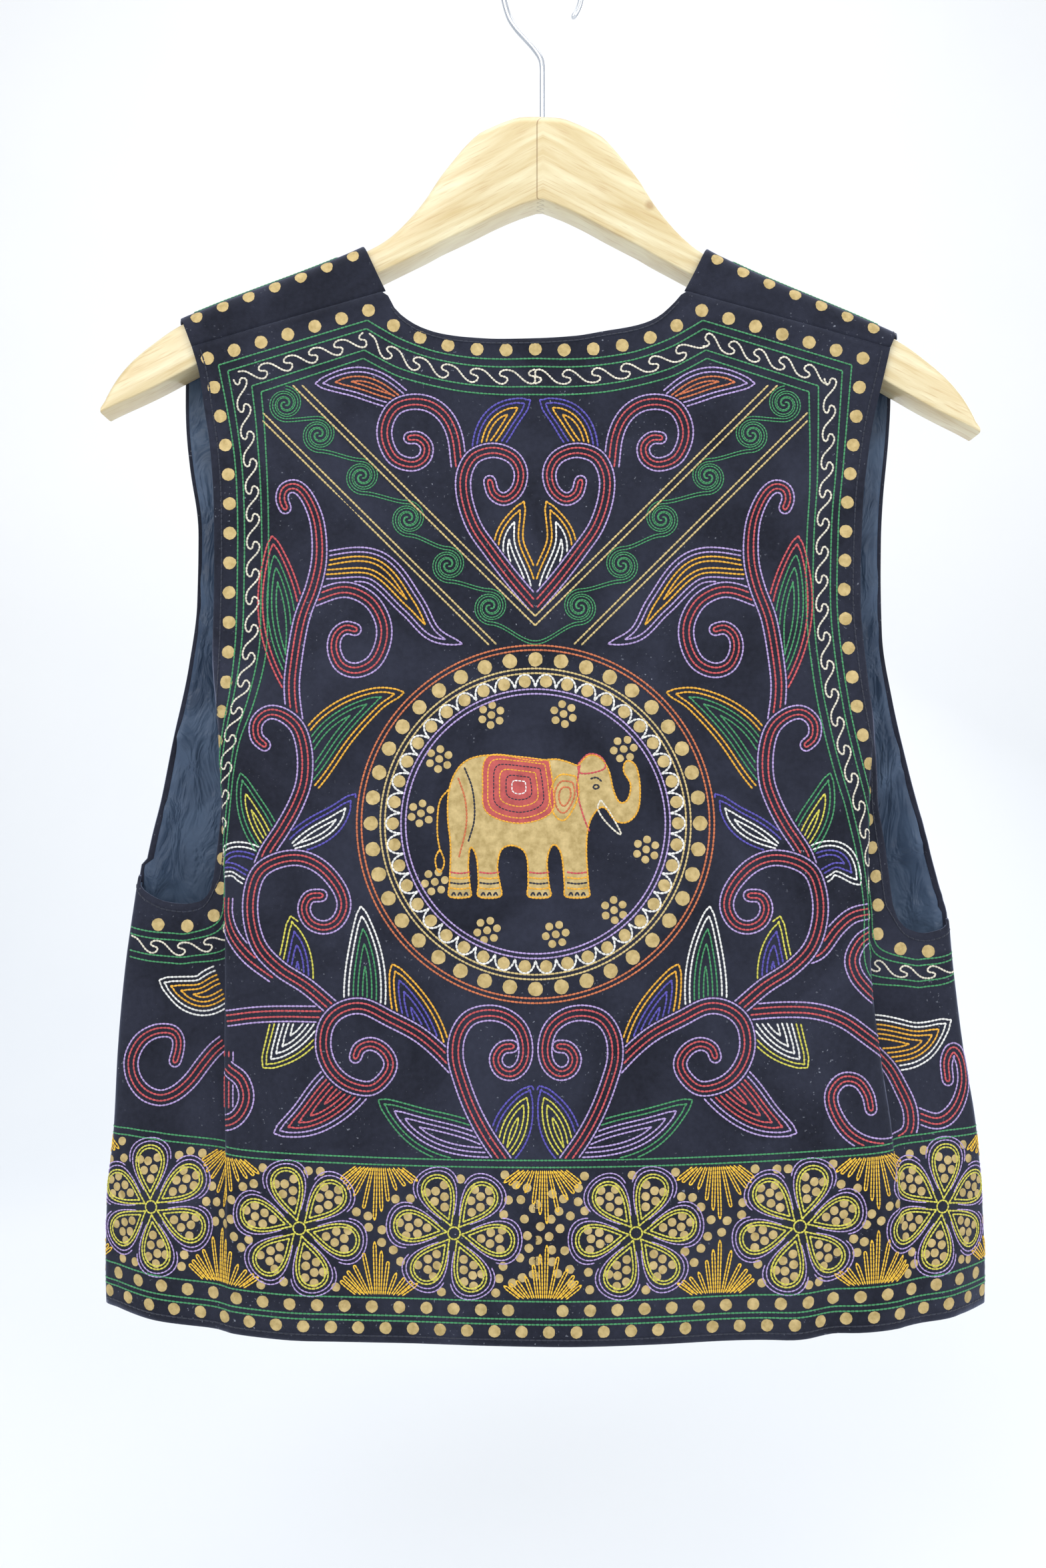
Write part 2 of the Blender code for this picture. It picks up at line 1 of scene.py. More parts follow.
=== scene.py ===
"""Looks of an embroidered velvet vest on a wooden hanger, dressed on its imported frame.

Metres, +Z up, in the frame of the CAD. The back of the vest faces -Y, the left is at -X.
Cloth is addressed by its distance along the cloth from the centre back, minus to the left,
and by its height. The pattern is drawn on it in the pixels of the photograph.
"""

import functools
import math

import bmesh
import bpy
import numpy as np
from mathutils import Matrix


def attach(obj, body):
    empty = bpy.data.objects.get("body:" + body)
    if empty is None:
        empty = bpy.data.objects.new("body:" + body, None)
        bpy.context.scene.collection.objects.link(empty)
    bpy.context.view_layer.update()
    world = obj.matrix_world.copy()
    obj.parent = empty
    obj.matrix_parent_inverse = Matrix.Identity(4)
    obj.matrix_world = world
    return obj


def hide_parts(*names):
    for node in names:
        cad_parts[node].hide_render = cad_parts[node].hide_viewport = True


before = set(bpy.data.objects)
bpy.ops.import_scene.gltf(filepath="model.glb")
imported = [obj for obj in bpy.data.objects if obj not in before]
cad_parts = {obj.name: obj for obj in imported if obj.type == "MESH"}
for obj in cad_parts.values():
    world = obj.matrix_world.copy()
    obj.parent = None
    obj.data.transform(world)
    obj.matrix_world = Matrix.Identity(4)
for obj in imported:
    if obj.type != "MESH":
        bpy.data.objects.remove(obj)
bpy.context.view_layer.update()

MM = 0.001
GAP = 0.3 * MM
VELVET_WALL = 1.2 * MM
LINING_WALL = 1.0 * MM
EDGE_ALLOWANCE = 2.0 * MM
LEFT = -1
RIGHT = 1
SIDES = (LEFT, RIGHT)
SIDE_NAMES = {LEFT: "left", RIGHT: "right"}

# Hanger, as in the part
BOARD_THICKNESS = 18 * MM
BOARD_ROUNDING = 6 * MM
BOARD_CENTRE_X = -1.3 * MM
MITRE_X = -3.0 * MM
ROLL = 0.0227
WIRE_RADIUS = 1.55 * MM
HOOK_RADIUS = 20.0 * MM
KINK_Z = -52.2 * MM
STEM_DEPTH = 24 * MM
FINGER_PITCH = 2.25 * MM

# Vest, as in the part
CENTRE_X = -4.0 * MM
NECK_HALF = 75.5 * MM
NECK_SEAM_Z = -175.5 * MM
CLOTH_OFF_BOARD = GAP + LINING_WALL + GAP + VELVET_WALL / 2
LINING_SHIFT = VELVET_WALL / 2 + GAP + LINING_WALL / 2
FREE_Z = -225 * MM
FREE_RUN = 80 * MM
HEM_Z = -700.5 * MM
HEM_RISE = 11 * MM
HEM_REACH = 215 * MM
FOLD_LEAD = 10 * MM

# The photograph: where the camera stood, the pixels of its middle and its focal length
CAMERA_PLACE = (-10.1 * MM, -660 * MM, -424.6 * MM)
PHOTO_SIZE = (1568, 2350)
FOCAL_PIXELS = 1925
PATTERN_CENTRE_U = 802


def table(names, *rows):
    """Named columns, in metres, from rows in millimetres."""
    return {name: np.array(column) * MM for name, column in zip(names, zip(*rows))}


# The board's upper and lower edges, out from its centre
BOARD = table(
    ("out", "top", "under"),
    (0, -84, -127.5), (10, -84.5, -131), (17, -86.6, -134), (24, -89.6, -137.3), (31, -93.2, -141),
    (38, -99.8, -144.6), (44.5, -107.6, -147.8), (51, -116, -151), (58, -126.9, -155),
    (65, -135.8, -158.6), (72, -143.3, -162.2), (79, -149.2, -165.8), (86, -153.4, -169.5),
    (94, -157.3, -173.6), (104, -161.8, -178.8), (120, -168.5, -187), (140, -176.4, -197.4),
    (160, -184.4, -208), (172, -189.5, -214.4), (184, -195, -221), (196, -203.4, -227.6),
    (207, -212.6, -233.1), (214, -220.6, -236.4), (220, -230.4, -239.4), (223.4, -238.4, -241.2),
)

# Body sections: how far back and forward the cloth hangs, half widths from the centre line,
# where each side's deep fold turns, and how sharply it turns in tenths
BODY = table(
    ("z", "back_y", "front_y", "left_edge", "right_edge", "left_fold", "left_turn", "right_fold",
     "right_turn"),
    (-160, -11.2, 11.2, 209, 211, 184, 0, 188, 0), (-235, -11.3, 11.3, 208, 210, 180, 0, 184, 0),
    (-300, -14.2, 13.2, 198, 199, 164, 0, 170, 0), (-350, -16.5, 15.0, 194, 195, 160, 2, 167, 0),
    (-400, -18.8, 16.8, 195, 196, 158, 8, 167, 4), (-440, -20.4, 18.2, 198, 200, 156, 10, 166.5, 9),
    (-480, -21.8, 19.4, 204, 210, 154.5, 10, 166, 10),
    (-520, -23.2, 20.6, 209.5, 214, 154, 10, 167, 10), (-560, -24.6, 21.8, 213, 219, 154, 10, 171, 9),
    (-600, -26.2, 23.0, 215, 225.5, 153, 9, 176, 7), (-640, -27.6, 24.2, 218.5, 228.7, 151, 5, 178, 4),
    (-675, -28.6, 25.2, 219, 230, 149, 2.5, 178, 2), (-705, -29.2, 26.0, 218, 229.5, 148, 2, 177, 1.5),
)

# The armhole edge of the back, along the cloth, down to where the curve under the arm begins
ARMHOLE_BACK = {
    LEFT: table(
        ("z", "along"),
        (-190, 178), (-203.5, 173.5), (-218, 169.5), (-235, 167), (-255, 164), (-285, 161.8),
        (-320, 161.4), (-355, 162.2), (-390, 164.5), (-420, 167), (-450, 170), (-472, 173),
    ),
    RIGHT: table(
        ("z", "along"),
        (-190, 182.5), (-204, 179.5), (-218, 176.3), (-238, 171.5), (-256, 168.4), (-285, 165),
        (-332, 163.3), (-366, 166), (-400, 171.8), (-433, 181), (-462, 188), (-486, 191.5),
    ),
}
# The curve under each arm, up to the side seam
UNDERARM = {
    LEFT: table(
        ("past", "z"),
        (0, -472), (2, -479.5), (7, -484.2), (15, -485.6), (24, -484.6), (34, -480), (43, -471),
        (48, -466),
    ),
    RIGHT: table(
        ("past", "z"),
        (0, -486), (2.5, -493), (8, -498.4), (16, -500.4), (24, -498.8), (31, -495), (37, -490.6),
    ),
}
# The armhole edge of each front, out from the centre line
ARMHOLE_FRONT = {
    LEFT: table(
        ("z", "out"),
        (-170, 182), (-198, 185.5), (-224, 183.6), (-260, 179.3), (-295, 175.4), (-330, 176.2),
        (-364, 180.7), (-399, 187.5), (-433, 193.5), (-451, 197.5), (-466, 200.5),
    ),
    RIGHT: table(
        ("z", "out"),
        (-170, 186), (-204, 186), (-224, 185), (-242, 182.9), (-277, 180.8), (-312, 180.4),
        (-346, 181.2), (-381, 186.3), (-416, 193.2), (-451, 201.5), (-478, 208.6), (-490.6, 211.5),
    ),
}
# The back neckline, from the centre line
NECKLINE = table(
    ("out", "z"),
    (-75.5, -175.5), (-70.8, -184.5), (-65, -189.8), (-57.7, -194), (-47.7, -197.2), (-35, -199),
    (-18, -199.9), (0, -199.6), (20, -198.4), (36, -195.8), (47, -194), (55, -192), (62, -188.8),
    (69.5, -182.4), (75.5, -175.5),
)
# The neck and centre edge of each front, from the centre line
FRONT_EDGE = table(
    ("z", "out"),
    (-153, 90), (-200, 81), (-250, 64), (-300, 46), (-345, 28), (-385, 13), (-410, 8.5), (-450, 7.5),
    (-560, 8.5), (-705, 12),
)
# Soft waves in the lower part
BACK_WAVES = table(
    ("out", "reach", "height", "top"),
    (-118, 17, 1.6, -560), (-60, 26, -1.2, -590), (20, 30, 1.3, -600), (92, 22, -1.4, -570),
    (128, 11, 2.6, -600), (147, 9, -2.6, -610),
)
FRONT_WAVES = table(
    ("out", "reach", "height", "top"),
    (-150, 20, 2.5, -480), (-92, 18, -2.5, -440), (-40, 16, 2.8, -480), (46, 17, 2.6, -470),
    (98, 18, -2.4, -450), (158, 20, 2.4, -500),
)
SEAM_END_Z = {LEFT: -203.5 * MM, RIGHT: -204.1 * MM}

# Creases: from one end to the other along the cloth and in height, half width
# and height of the ridge, minus for a hollow
BACK_CREASES = table(
    ("along", "z", "end_along", "end_z", "reach", "height"),
    (-150, -392, -118, -452, 5, 0.5), (-152, -430, -112, -500, 6, -0.5),
    (-150, -512, -96, -548, 5, 0.6), (-146, -560, -84, -574, 6, -0.5), (-140, -250, -92, -290, 7, 0.4),
    (-146, -300, -104, -352, 6, -0.4), (152, -380, 116, -430, 5, 0.5), (158, -430, 104, -470, 5, 0.7),
    (160, -468, 112, -486, 5, -0.6), (162, -520, 100, -532, 6, 0.6), (160, -566, 92, -560, 6, -0.6),
    (146, -258, 100, -300, 7, -0.4), (150, -302, 96, -338, 6, 0.4), (-52, -212, -20, -232, 8, 0.4),
    (44, -210, 16, -236, 8, 0.4), (-20, -560, 24, -596, 9, 0.4), (-196, -500, -184, -560, 4, 0.8),
    (-208, -520, -200, -600, 5, -0.8), (202, -520, 196, -580, 4, 0.8), (216, -540, 208, -610, 5, -0.7),
)
FRONT_CREASES = table(
    ("along", "z", "end_along", "end_z", "reach", "height"),
    (-300, -300, -262, -420, 9, 1.4), (-330, -260, -290, -380, 8, -1.2),
    (-262, -470, -300, -520, 7, 0.9), (-256, -500, -330, -590, 9, -0.9),
    (-380, -420, -340, -520, 9, 1.0), (302, -300, 268, -430, 9, 1.4), (336, -262, 296, -390, 8, -1.2),
    (268, -500, 312, -540, 7, 0.9), (262, -520, 338, -600, 9, -0.9), (390, -410, 346, -520, 9, 1.0),
)
# The lining's own wrinkles, which only press inwards
LINING_WRINKLES = table(
    ("along", "z", "end_along", "end_z", "reach", "height"),
    (-236, -262, -296, -330, 3.5, 1.3), (-244, -300, -300, -352, 3, 1.1),
    (-238, -330, -282, -412, 4, 1.6), (-256, -352, -262, -446, 3, 1.2),
    (-240, -392, -286, -402, 3, 1.0), (-232, -424, -276, -440, 3.5, 1.4),
    (-236, -450, -270, -476, 3, 1.2), (-250, -232, -276, -282, 3, 1.0),
    (240, -270, 300, -340, 3.5, 1.3), (246, -310, 300, -362, 3, 1.1), (240, -350, 284, -430, 4, 1.6),
    (258, -372, 264, -462, 3, 1.2), (244, -412, 286, -424, 3, 1.0), (236, -446, 278, -462, 3.5, 1.4),
    (240, -474, 272, -498, 3, 1.2), (252, -240, 278, -292, 3, 1.0), (-120, -300, -60, -420, 5, 1.0),
    (120, -320, 50, -440, 5, 1.0), (-40, -240, 10, -330, 5, 0.9), (-150, -520, -60, -560, 5, 1.1),
    (150, -540, 50, -580, 5, 1.1),
)

FACE_SPACING = 3.2 * MM
FOLD_SPACING = 1.5 * MM
SIDE_COLUMNS = 30
FRONT_COLUMNS = 64
ROW_SPACING = 3.2 * MM
OVER_ROWS = 22
LEVEL_STEP = 3 * MM
FIRST_LEVEL = -240
LAST_LEVEL = -46
STEP = 1 * MM
LONGEST = 470 * MM
WIDEST = 240 * MM
SECTION_STEPS = 10


def eased(keys, values, at):
    """A smooth value between rows that never passes them, level past the first and last."""
    if keys[0] > keys[-1]:
        keys, values = keys[::-1], values[::-1]
    at = np.clip(at, keys[0], keys[-1])
    grades = np.diff(values) / np.diff(keys)
    before, after = grades[:-1], grades[1:]
    same_way = before * after > 0
    slopes = np.zeros(len(keys))
    slopes[0], slopes[-1] = grades[0], grades[-1]
    slopes[1:-1][same_way] = (2 * before * after)[same_way] / (before + after)[same_way]
    low = np.clip(np.searchsorted(keys, at, side="right") - 1, 0, len(keys) - 2)
    span = keys[low + 1] - keys[low]
    t = (at - keys[low]) / span
    rise = values[low + 1] - values[low]
    start, end = slopes[low] * span, slopes[low + 1] * span
    curved = t**2 * (3 * rise - 2 * start - end) + t**3 * (start + end - 2 * rise)
    return values[low] + t * start + curved


def smooth_step(value):
    value = np.clip(value, 0, 1)
    return value * value * (3 - 2 * value)


def rounded(points, steps):
    """A smooth curve through all points but the first and last, which only steer it."""
    points = np.asarray(points, float)
    p, q, r, w = (points[i : len(points) - 3 + i, None] for i in range(4))
    t = (np.arange(1, steps + 1) / steps)[None, :, None]
    bend = t * t * (2 * p - 5 * q + 4 * r - w) + t**3 * (3 * q - p - 3 * r + w)
    curve = 0.5 * (2 * q + t * (r - p) + bend)
    return np.concatenate([points[1:2], curve.reshape(-1, points.shape[1])])


def run_lengths(path):
    """Distance along a path at each of its points."""
    return np.concatenate([[0], np.cumsum(np.linalg.norm(np.diff(path, axis=0), axis=1))])


def read_at(at, keys, rows):
    """Rows of numbers, read between their keys."""
    return np.stack([np.interp(at, keys, column) for column in rows.T], axis=1)


def spread(low, high, spacing):
    """Evenly spaced values from low to high."""
    return np.linspace(low, high, max(2, round((high - low) / spacing) + 1))


def ridges(rows, along, z):
    """How far creases lift the cloth at places given along it and in height."""
    total = np.zeros(np.broadcast(along, z).shape)
    for i in range(len(rows["z"])):
        start = np.array([rows["along"][i], rows["z"][i]])
        run = np.array([rows["end_along"][i], rows["end_z"][i]]) - start
        share = ((along - start[0]) * run[0] + (z - start[1]) * run[1]) / (run @ run)
        held = np.clip(share, 0, 1)
        off = np.hypot(along - start[0] - held * run[0], z - start[1] - held * run[1])
        fade = smooth_step(np.minimum(share + 0.35, 1.35 - share) / 0.5)
        total += rows["height"][i] * np.exp(-((off / rows["reach"][i]) ** 2)) * fade
    return total


def waves(rows, x, z):
    total = np.zeros(x.shape)
    for out, reach, height, top in zip(rows["out"], rows["reach"], rows["height"], rows["top"]):
        grown = smooth_step((top - z) / (top - HEM_Z))
        total += height * grown * np.exp(-(((x - CENTRE_X - out) / reach) ** 2))
    return total


def body(column, z):
    return eased(BODY["z"], BODY[column], z)


def front_edge(z):
    return eased(FRONT_EDGE["z"], FRONT_EDGE["out"], z)


def section(side, z):
    """One side's cloth at a height, from the centre back round to the centre front edge."""
    name = SIDE_NAMES[side]
    back, front = body("back_y", z), body("front_y", z)
    edge, fold = body(name + "_edge", z), body(name + "_fold", z)
    turn = body(name + "_turn", z) / (10 * MM)
    middle = 0.5 * (back + front)
    deep = back + (8 + 8 * turn) * MM
    opening = min(front_edge(z), 60 * MM)
    free = smooth_step((FREE_Z - z) / FREE_RUN)
    plain = np.array([
        (fold, back + 1.2 * MM * free),
        (fold + 7 * MM, back + 2.6 * MM * free),
        (fold + 15 * MM, back + 4.4 * MM * free),
    ])
    turned = np.array([
        (fold, back + 4.2 * MM),
        (fold - 1.2 * MM, back + 9.6 * MM),
        (fold + 6.5 * MM, back + 14.2 * MM),
    ])
    points = [(0, back), (0.36 * fold, back), (0.72 * fold, back), (fold - 13 * MM, back + 0.3 * MM)]
    points += list(plain + (turned - plain) * turn)
    points += [
        (fold + 0.6 * (edge - fold), min(deep, middle - 5 * MM)),
        (edge - 3.5 * MM, middle - 4.5 * MM),
        (edge, middle + 1 * MM),
        (edge - 4 * MM, middle + 7 * MM),
        (edge - 19 * MM, front - 3.5 * MM * free),
        (0.72 * edge, front),
        (0.45 * edge, front),
        (opening, front),
    ]
    widest = 9
    ends = [(-points[1][0], points[1][1])] + points + [(2 * opening - points[-2][0], front)]
    outs, ys = rounded(ends, SECTION_STEPS).T
    xs = CENTRE_X + side * outs
    seam = widest * SECTION_STEPS
    before = np.arange(len(xs)) < seam - SECTION_STEPS
    after = np.arange(len(xs)) > seam + SECTION_STEPS
    ys = ys - before * waves(BACK_WAVES, xs, z) + after * waves(FRONT_WAVES, xs, z)
    along = np.concatenate([[0], np.cumsum(np.hypot(np.diff(xs), np.diff(ys)))])
    return along, xs, ys, along[seam]


class Hang:
    """One side's hung cloth, read at any distance along it and any height."""

    def __init__(self, side):
        self.side = side
        self.steps = np.arange(0, LONGEST, STEP)
        outs = np.arange(0, WIDEST, STEP)
        rows = []
        for level in range(FIRST_LEVEL, LAST_LEVEL + 1):
            z = level * LEVEL_STEP
            along, xs, ys, seam = section(side, z)
            x, y = np.interp(self.steps, along, xs), np.interp(self.steps, along, ys)
            dx, dy = np.gradient(x), np.gradient(y)
            length = np.maximum(np.hypot(dx, dy), 1e-9)
            signed = side * self.steps
            lift = ridges(BACK_CREASES, signed, z) + ridges(FRONT_CREASES, signed, z)
            x, y = x + lift * side * dy / length, y - lift * side * dx / length
            held = side * (xs - CENTRE_X)
            behind, ahead = along <= seam, along >= seam
            rising = np.maximum.accumulate(held[behind]) + np.arange(behind.sum()) * 1e-9
            seen = np.interp(outs, rising, along[behind])
            fronts = np.interp(-outs, -held[ahead], along[ahead])
            rows.append((x, y, seen, fronts, seam, along[-1]))
        self.x, self.y, self.seen, self.fronts, self.seams, self.ends = map(np.array, zip(*rows))

    def mixed(self, rows, z, along=None):
        """Rows of a map at heights z, and at distances along it where it has columns."""
        level = np.clip(z / LEVEL_STEP - FIRST_LEVEL, 0, len(rows) - 1.001)
        low = np.floor(level).astype(int)
        up = level - low
        if along is None:
            return rows[low] * (1 - up) + rows[low + 1] * up
        place = np.clip(along / STEP, 0, rows.shape[1] - 1.001)
        left = np.floor(place).astype(int)
        over = place - left
        lower = rows[low, left] * (1 - over) + rows[low, left + 1] * over
        upper = rows[low + 1, left] * (1 - over) + rows[low + 1, left + 1] * over
        return lower * (1 - up) + upper * up

    def point(self, along, z):
        along, z = np.broadcast_arrays(along, z)
        return np.stack([self.mixed(self.x, z, along), self.mixed(self.y, z, along), z], axis=-1)

    def seam(self, z):
        return self.mixed(self.seams, z)

    def end(self, z):
        return self.mixed(self.ends, z)

    def front_along(self, out, z):
        return self.mixed(self.fronts, z, out)

    def seen_along(self, out, z):
        return self.mixed(self.seen, z, out)


HANGS = {side: Hang(side) for side in SIDES}


def facing(across, up, side):
    out = np.cross(across, up) * side
    return out / np.maximum(np.linalg.norm(out, axis=-1, keepdims=True), 1e-9)


def hung(side, along, z):
    """Places in the middle of the velvet, and the ways that they face."""
    step = 1.2 * MM
    hang = HANGS[side]
    across = hang.point(along + step, z) - hang.point(np.maximum(along - step, 0), z)
    up = hang.point(along, z + step) - hang.point(along, z - step)
    return hang.point(along, z), facing(across, up, side)


def both_sides(path, read):
    """Places and ways on both sides of the centre back, read from each side's rows."""
    places, ways = np.zeros((len(path), 3)), np.zeros((len(path), 3))
    for side in SIDES:
        mine = path[:, 0] >= 0 if side == RIGHT else path[:, 0] < 0
        places[mine], ways[mine] = read(side, path[mine])
    return places, ways


def back_place(path):
    """Places and ways on the back, for rows of (distance along with its sign, height)."""
    return both_sides(path, lambda side, rows: hung(side, np.abs(rows[:, 0]), rows[:, 1]))


def board_height(edge, x):
    out = np.abs(x - BOARD_CENTRE_X)
    return eased(BOARD["out"], BOARD[edge], out) - ROLL * (x - BOARD_CENTRE_X)


RIDGE_LIFT = CLOTH_OFF_BOARD * 1.1
OVER_FLAT = BOARD_THICKNESS / 2 - BOARD_ROUNDING
OVER_RADIUS = BOARD_ROUNDING + CLOTH_OFF_BOARD
OVER_ARC = OVER_RADIUS * math.pi / 2
OVER_END = OVER_FLAT + OVER_ARC


def over_board(x, path):
    """Places and ways of the velvet over the board, at distances past its ridge."""
    x, path = np.broadcast_arrays(x, path)

    def place(x, path):
        ridge = board_height("top", x) + RIDGE_LIFT
        distance = np.abs(path)
        angle = np.clip((distance - OVER_FLAT) / OVER_RADIUS, 0, math.pi / 2)
        fall = np.maximum(distance - OVER_END, 0)
        y = np.minimum(distance, OVER_FLAT) + OVER_RADIUS * np.sin(angle)
        z = ridge - OVER_RADIUS * (1 - np.cos(angle)) - fall
        return np.stack([x, np.sign(path) * y, z], axis=-1)

    step = 0.5 * MM
    across = place(x + step, path) - place(x - step, path)
    forward = place(x, path + step) - place(x, path - step)
    return place(x, path), facing(across, forward, 1)


def over_end_height(x):
    """Height where the cloth leaves the board's rounded top."""
    return board_height("top", x) + RIDGE_LIFT - OVER_RADIUS


def front_place(side):
    """Reads places and ways on a front, for rows of (out from the centre line, height).

    Past the board the height goes on over the ridge and down the back as if unrolled.
    """

    def read(path):
        out, height = path.T
        x = CENTRE_X + side * out
        over = OVER_END - (height - over_end_height(x))
        z = np.minimum(height, over_end_height(x))
        places, ways = hung(side, HANGS[side].front_along(out, z), z)
        wrapped, wrapped_ways = over_board(x, np.minimum(over, OVER_END))
        on_board = (over < OVER_END)[:, None]
        return np.where(on_board, wrapped, places), np.where(on_board, wrapped_ways, ways)

    return read


def hem_height(out):
    return HEM_Z + HEM_RISE * np.minimum(out / HEM_REACH, 1.0) ** 2


def hem_at(side, along):
    """Height of the hem at a distance along the cloth, on the back or on a front."""
    seam, end = HANGS[side].seam(HEM_Z), HANGS[side].end(HEM_Z)
    share = np.clip((along - seam) / (end - seam), 0, 1)
    return np.where(along < seam, hem_height(along), hem_height(HEM_REACH * (1 - share)))


def band_place(side):
    """Reads places and ways near the hem, for rows of (distance along, height over the hem)."""

    def read(path):
        along = np.abs(path[:, 0])
        return hung(side, along, hem_at(side, along) + path[:, 1])

    return read


def armhole_back(side, z):
    return eased(ARMHOLE_BACK[side]["z"], ARMHOLE_BACK[side]["along"], z)


def armhole_front(side, z):
    return eased(ARMHOLE_FRONT[side]["z"], ARMHOLE_FRONT[side]["out"], z)


def split_height(side):
    return float(ARMHOLE_BACK[side]["z"][-1])


def underarm(side, past):
    return eased(UNDERARM[side]["past"], UNDERARM[side]["z"], past)


def seam_height(side, out):
    """Height of the shoulder seam at a distance from the centre line."""
    run = (out - NECK_HALF) / (armhole_back(side, SEAM_END_Z[side]) - NECK_HALF)
    return NECK_SEAM_Z + run * (SEAM_END_Z[side] - NECK_SEAM_Z)


def back_top(side, share):
    """Height of the shoulder seam or the neckline above a share of the back's half width."""
    top = np.full(share.shape, NECK_SEAM_Z)
    for _ in range(6):
        out = share * armhole_back(side, top)
        neck = eased(NECKLINE["out"], NECKLINE["z"], side * out)
        top = np.where(out >= NECK_HALF - 0.01 * MM, seam_height(side, out), neck)
    return top


def lower_along(side, z, value):
    """Where a column that starts at value on the split lies at a lower height."""
    name = SIDE_NAMES[side] + "_fold"
    fold, first = body(name, z), body(name, split_height(side))
    face = value * (fold - FOLD_LEAD) / (first - FOLD_LEAD)
    return np.where(value <= first - FOLD_LEAD, face, value + fold - first)


def shifted(placed, shift):
    """Places moved along the ways that they face."""
    places, ways = placed
    return places + ways * shift


def back_blocks(shift, inset):
    """The back as two grids of points: under the arms, and between the armholes."""
    lower, upper = [], []
    middle = 0.5 * (split_height(LEFT) + split_height(RIGHT))
    for side in SIDES:
        split = split_height(side)
        edge = float(armhole_back(side, split))
        face_end = float(body(SIDE_NAMES[side] + "_fold", split)) - FOLD_LEAD
        neck = edge * NECK_HALF / float(armhole_back(side, SEAM_END_Z[side]))
        values = np.concatenate([
            spread(0, neck, FACE_SPACING), spread(neck, face_end, FACE_SPACING)[1:],
            spread(face_end, edge, FOLD_SPACING)[1:],
        ])
        shares = np.linspace(0, 1, SIDE_COLUMNS + 1)[1:]
        held = values * (1 - inset / edge)
        tops = middle + (split - middle) * held / edge

        def lower_grid(column_along, tops):
            rows = round((middle - HEM_Z) / ROW_SPACING)
            low = hem_height(column_along(np.full(tops.shape, HEM_Z))) + inset
            z = low + (tops - low) * np.linspace(0, 1, rows + 1)[:, None]
            return shifted(hung(side, column_along(z), z), shift)

        faces = lower_grid(lambda z: lower_along(side, z, np.broadcast_to(held, z.shape)), tops)

        def side_along(z):
            start = lower_along(side, z, np.full(z.shape, held[-1]))
            return start + (HANGS[side].seam(z) - GAP / 2 - inset - start) * shares

        side_tops = np.full(shares.shape, split)
        for _ in range(8):
            side_tops = underarm(side, side_along(side_tops) - edge) - inset
        sides = lower_grid(side_along, side_tops)
        block = np.concatenate([faces, sides], axis=1)
        lower.append(block[:, ::-1] if side == LEFT else block[:, 1:])
        high = back_top(side, held / edge) - inset
        rows = round((NECK_SEAM_Z - middle) / ROW_SPACING)
        z = tops + (high - tops) * np.linspace(0, 1, rows + 1)[:, None]
        block = shifted(hung(side, held / edge * armhole_back(side, z), z), shift)
        upper.append(block[:, ::-1] if side == LEFT else block[:, 1:])
    return [np.concatenate(lower, axis=1), np.concatenate(upper, axis=1)]


def front_blocks(side, shift, inset):
    """One front as three grids: over the board, beside the armhole and under it."""
    split = float(ARMHOLE_FRONT[side]["z"][-1])
    ridge_neck = float(FRONT_EDGE["out"][0])
    ridge_end = float(ARMHOLE_FRONT[side]["out"][0])
    seam_end = float(armhole_back(side, SEAM_END_Z[side]))
    share = np.linspace(0, 1, FRONT_COLUMNS + 1)

    def out_at(neck, arm):
        return neck + inset + share * (arm - neck - 2 * inset)

    out = out_at(NECK_HALF, seam_end)
    drop = over_board(CENTRE_X + side * out, -OVER_END)[0][:, 2] - seam_height(side, out)
    start = -OVER_END - drop + inset
    path = start + (OVER_END - start) * np.linspace(0, 1, OVER_ROWS + 1)[:, None]
    climb = np.clip((path - start) / -start, 0, 1)
    neck = NECK_HALF + (ridge_neck - NECK_HALF) * climb
    arm = seam_end + (ridge_end - seam_end) * climb
    over_out = out_at(neck, arm)
    overs = shifted(over_board(CENTRE_X + side * over_out, path), shift)

    start_z = over_board(CENTRE_X + side * over_out[-1], OVER_END)[0][:, 2]
    rows = round((start_z.mean() - split) / ROW_SPACING)
    t = np.linspace(0, 1, rows + 1)[:, None]
    z = start_z + t * (split - start_z)
    neck, arm = front_edge(z), armhole_front(side, z)
    out = over_out[-1] + (out_at(neck, arm) - over_out[-1]) * smooth_step(3 * t)
    uppers = shifted(hung(side, HANGS[side].front_along(out, z), z), shift)

    seam = HANGS[side].seam(split) + GAP / 2
    centre = HANGS[side].front_along(front_edge(split), split)
    inward = (HANGS[side].front_along(out[-1], np.full(share.shape, split)) - seam) / (centre - seam)
    inward[-1] = inset / (centre - seam)
    low = hem_height(HEM_REACH * (1 - inward)) + inset
    rows = round((split - HEM_Z) / ROW_SPACING)
    z = split + (low - split) * np.linspace(0, 1, rows + 1)[:, None]
    seam_here = HANGS[side].seam(z) + GAP / 2
    centre_here = HANGS[side].front_along(front_edge(z), z)
    lowers = shifted(hung(side, seam_here + inward * (centre_here - seam_here), z), shift)
    uppers[-1] = lowers[0]
    uppers[0] = overs[-1]
    blocks = [overs, uppers, lowers]
    return [block[:, ::-1] for block in blocks] if side == LEFT else blocks


def new_piece(name, mesh, material):
    """Links a finished mesh as a piece of the object."""
    mesh.materials.append(material)
    item = bpy.data.objects.new(name, mesh)
    bpy.context.collection.objects.link(item)
    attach(item, "root")
    return item


def from_bmesh(name, mesh, material, smooth_angle):
    """A piece shaded smoothly, apart from edges over an angle in degrees."""
    data = bpy.data.meshes.new(name)
    mesh.to_mesh(data)
    mesh.free()
    data.shade_smooth()
    data.set_sharp_from_angle(angle=math.radians(smooth_angle))
    return new_piece(name, data, material)


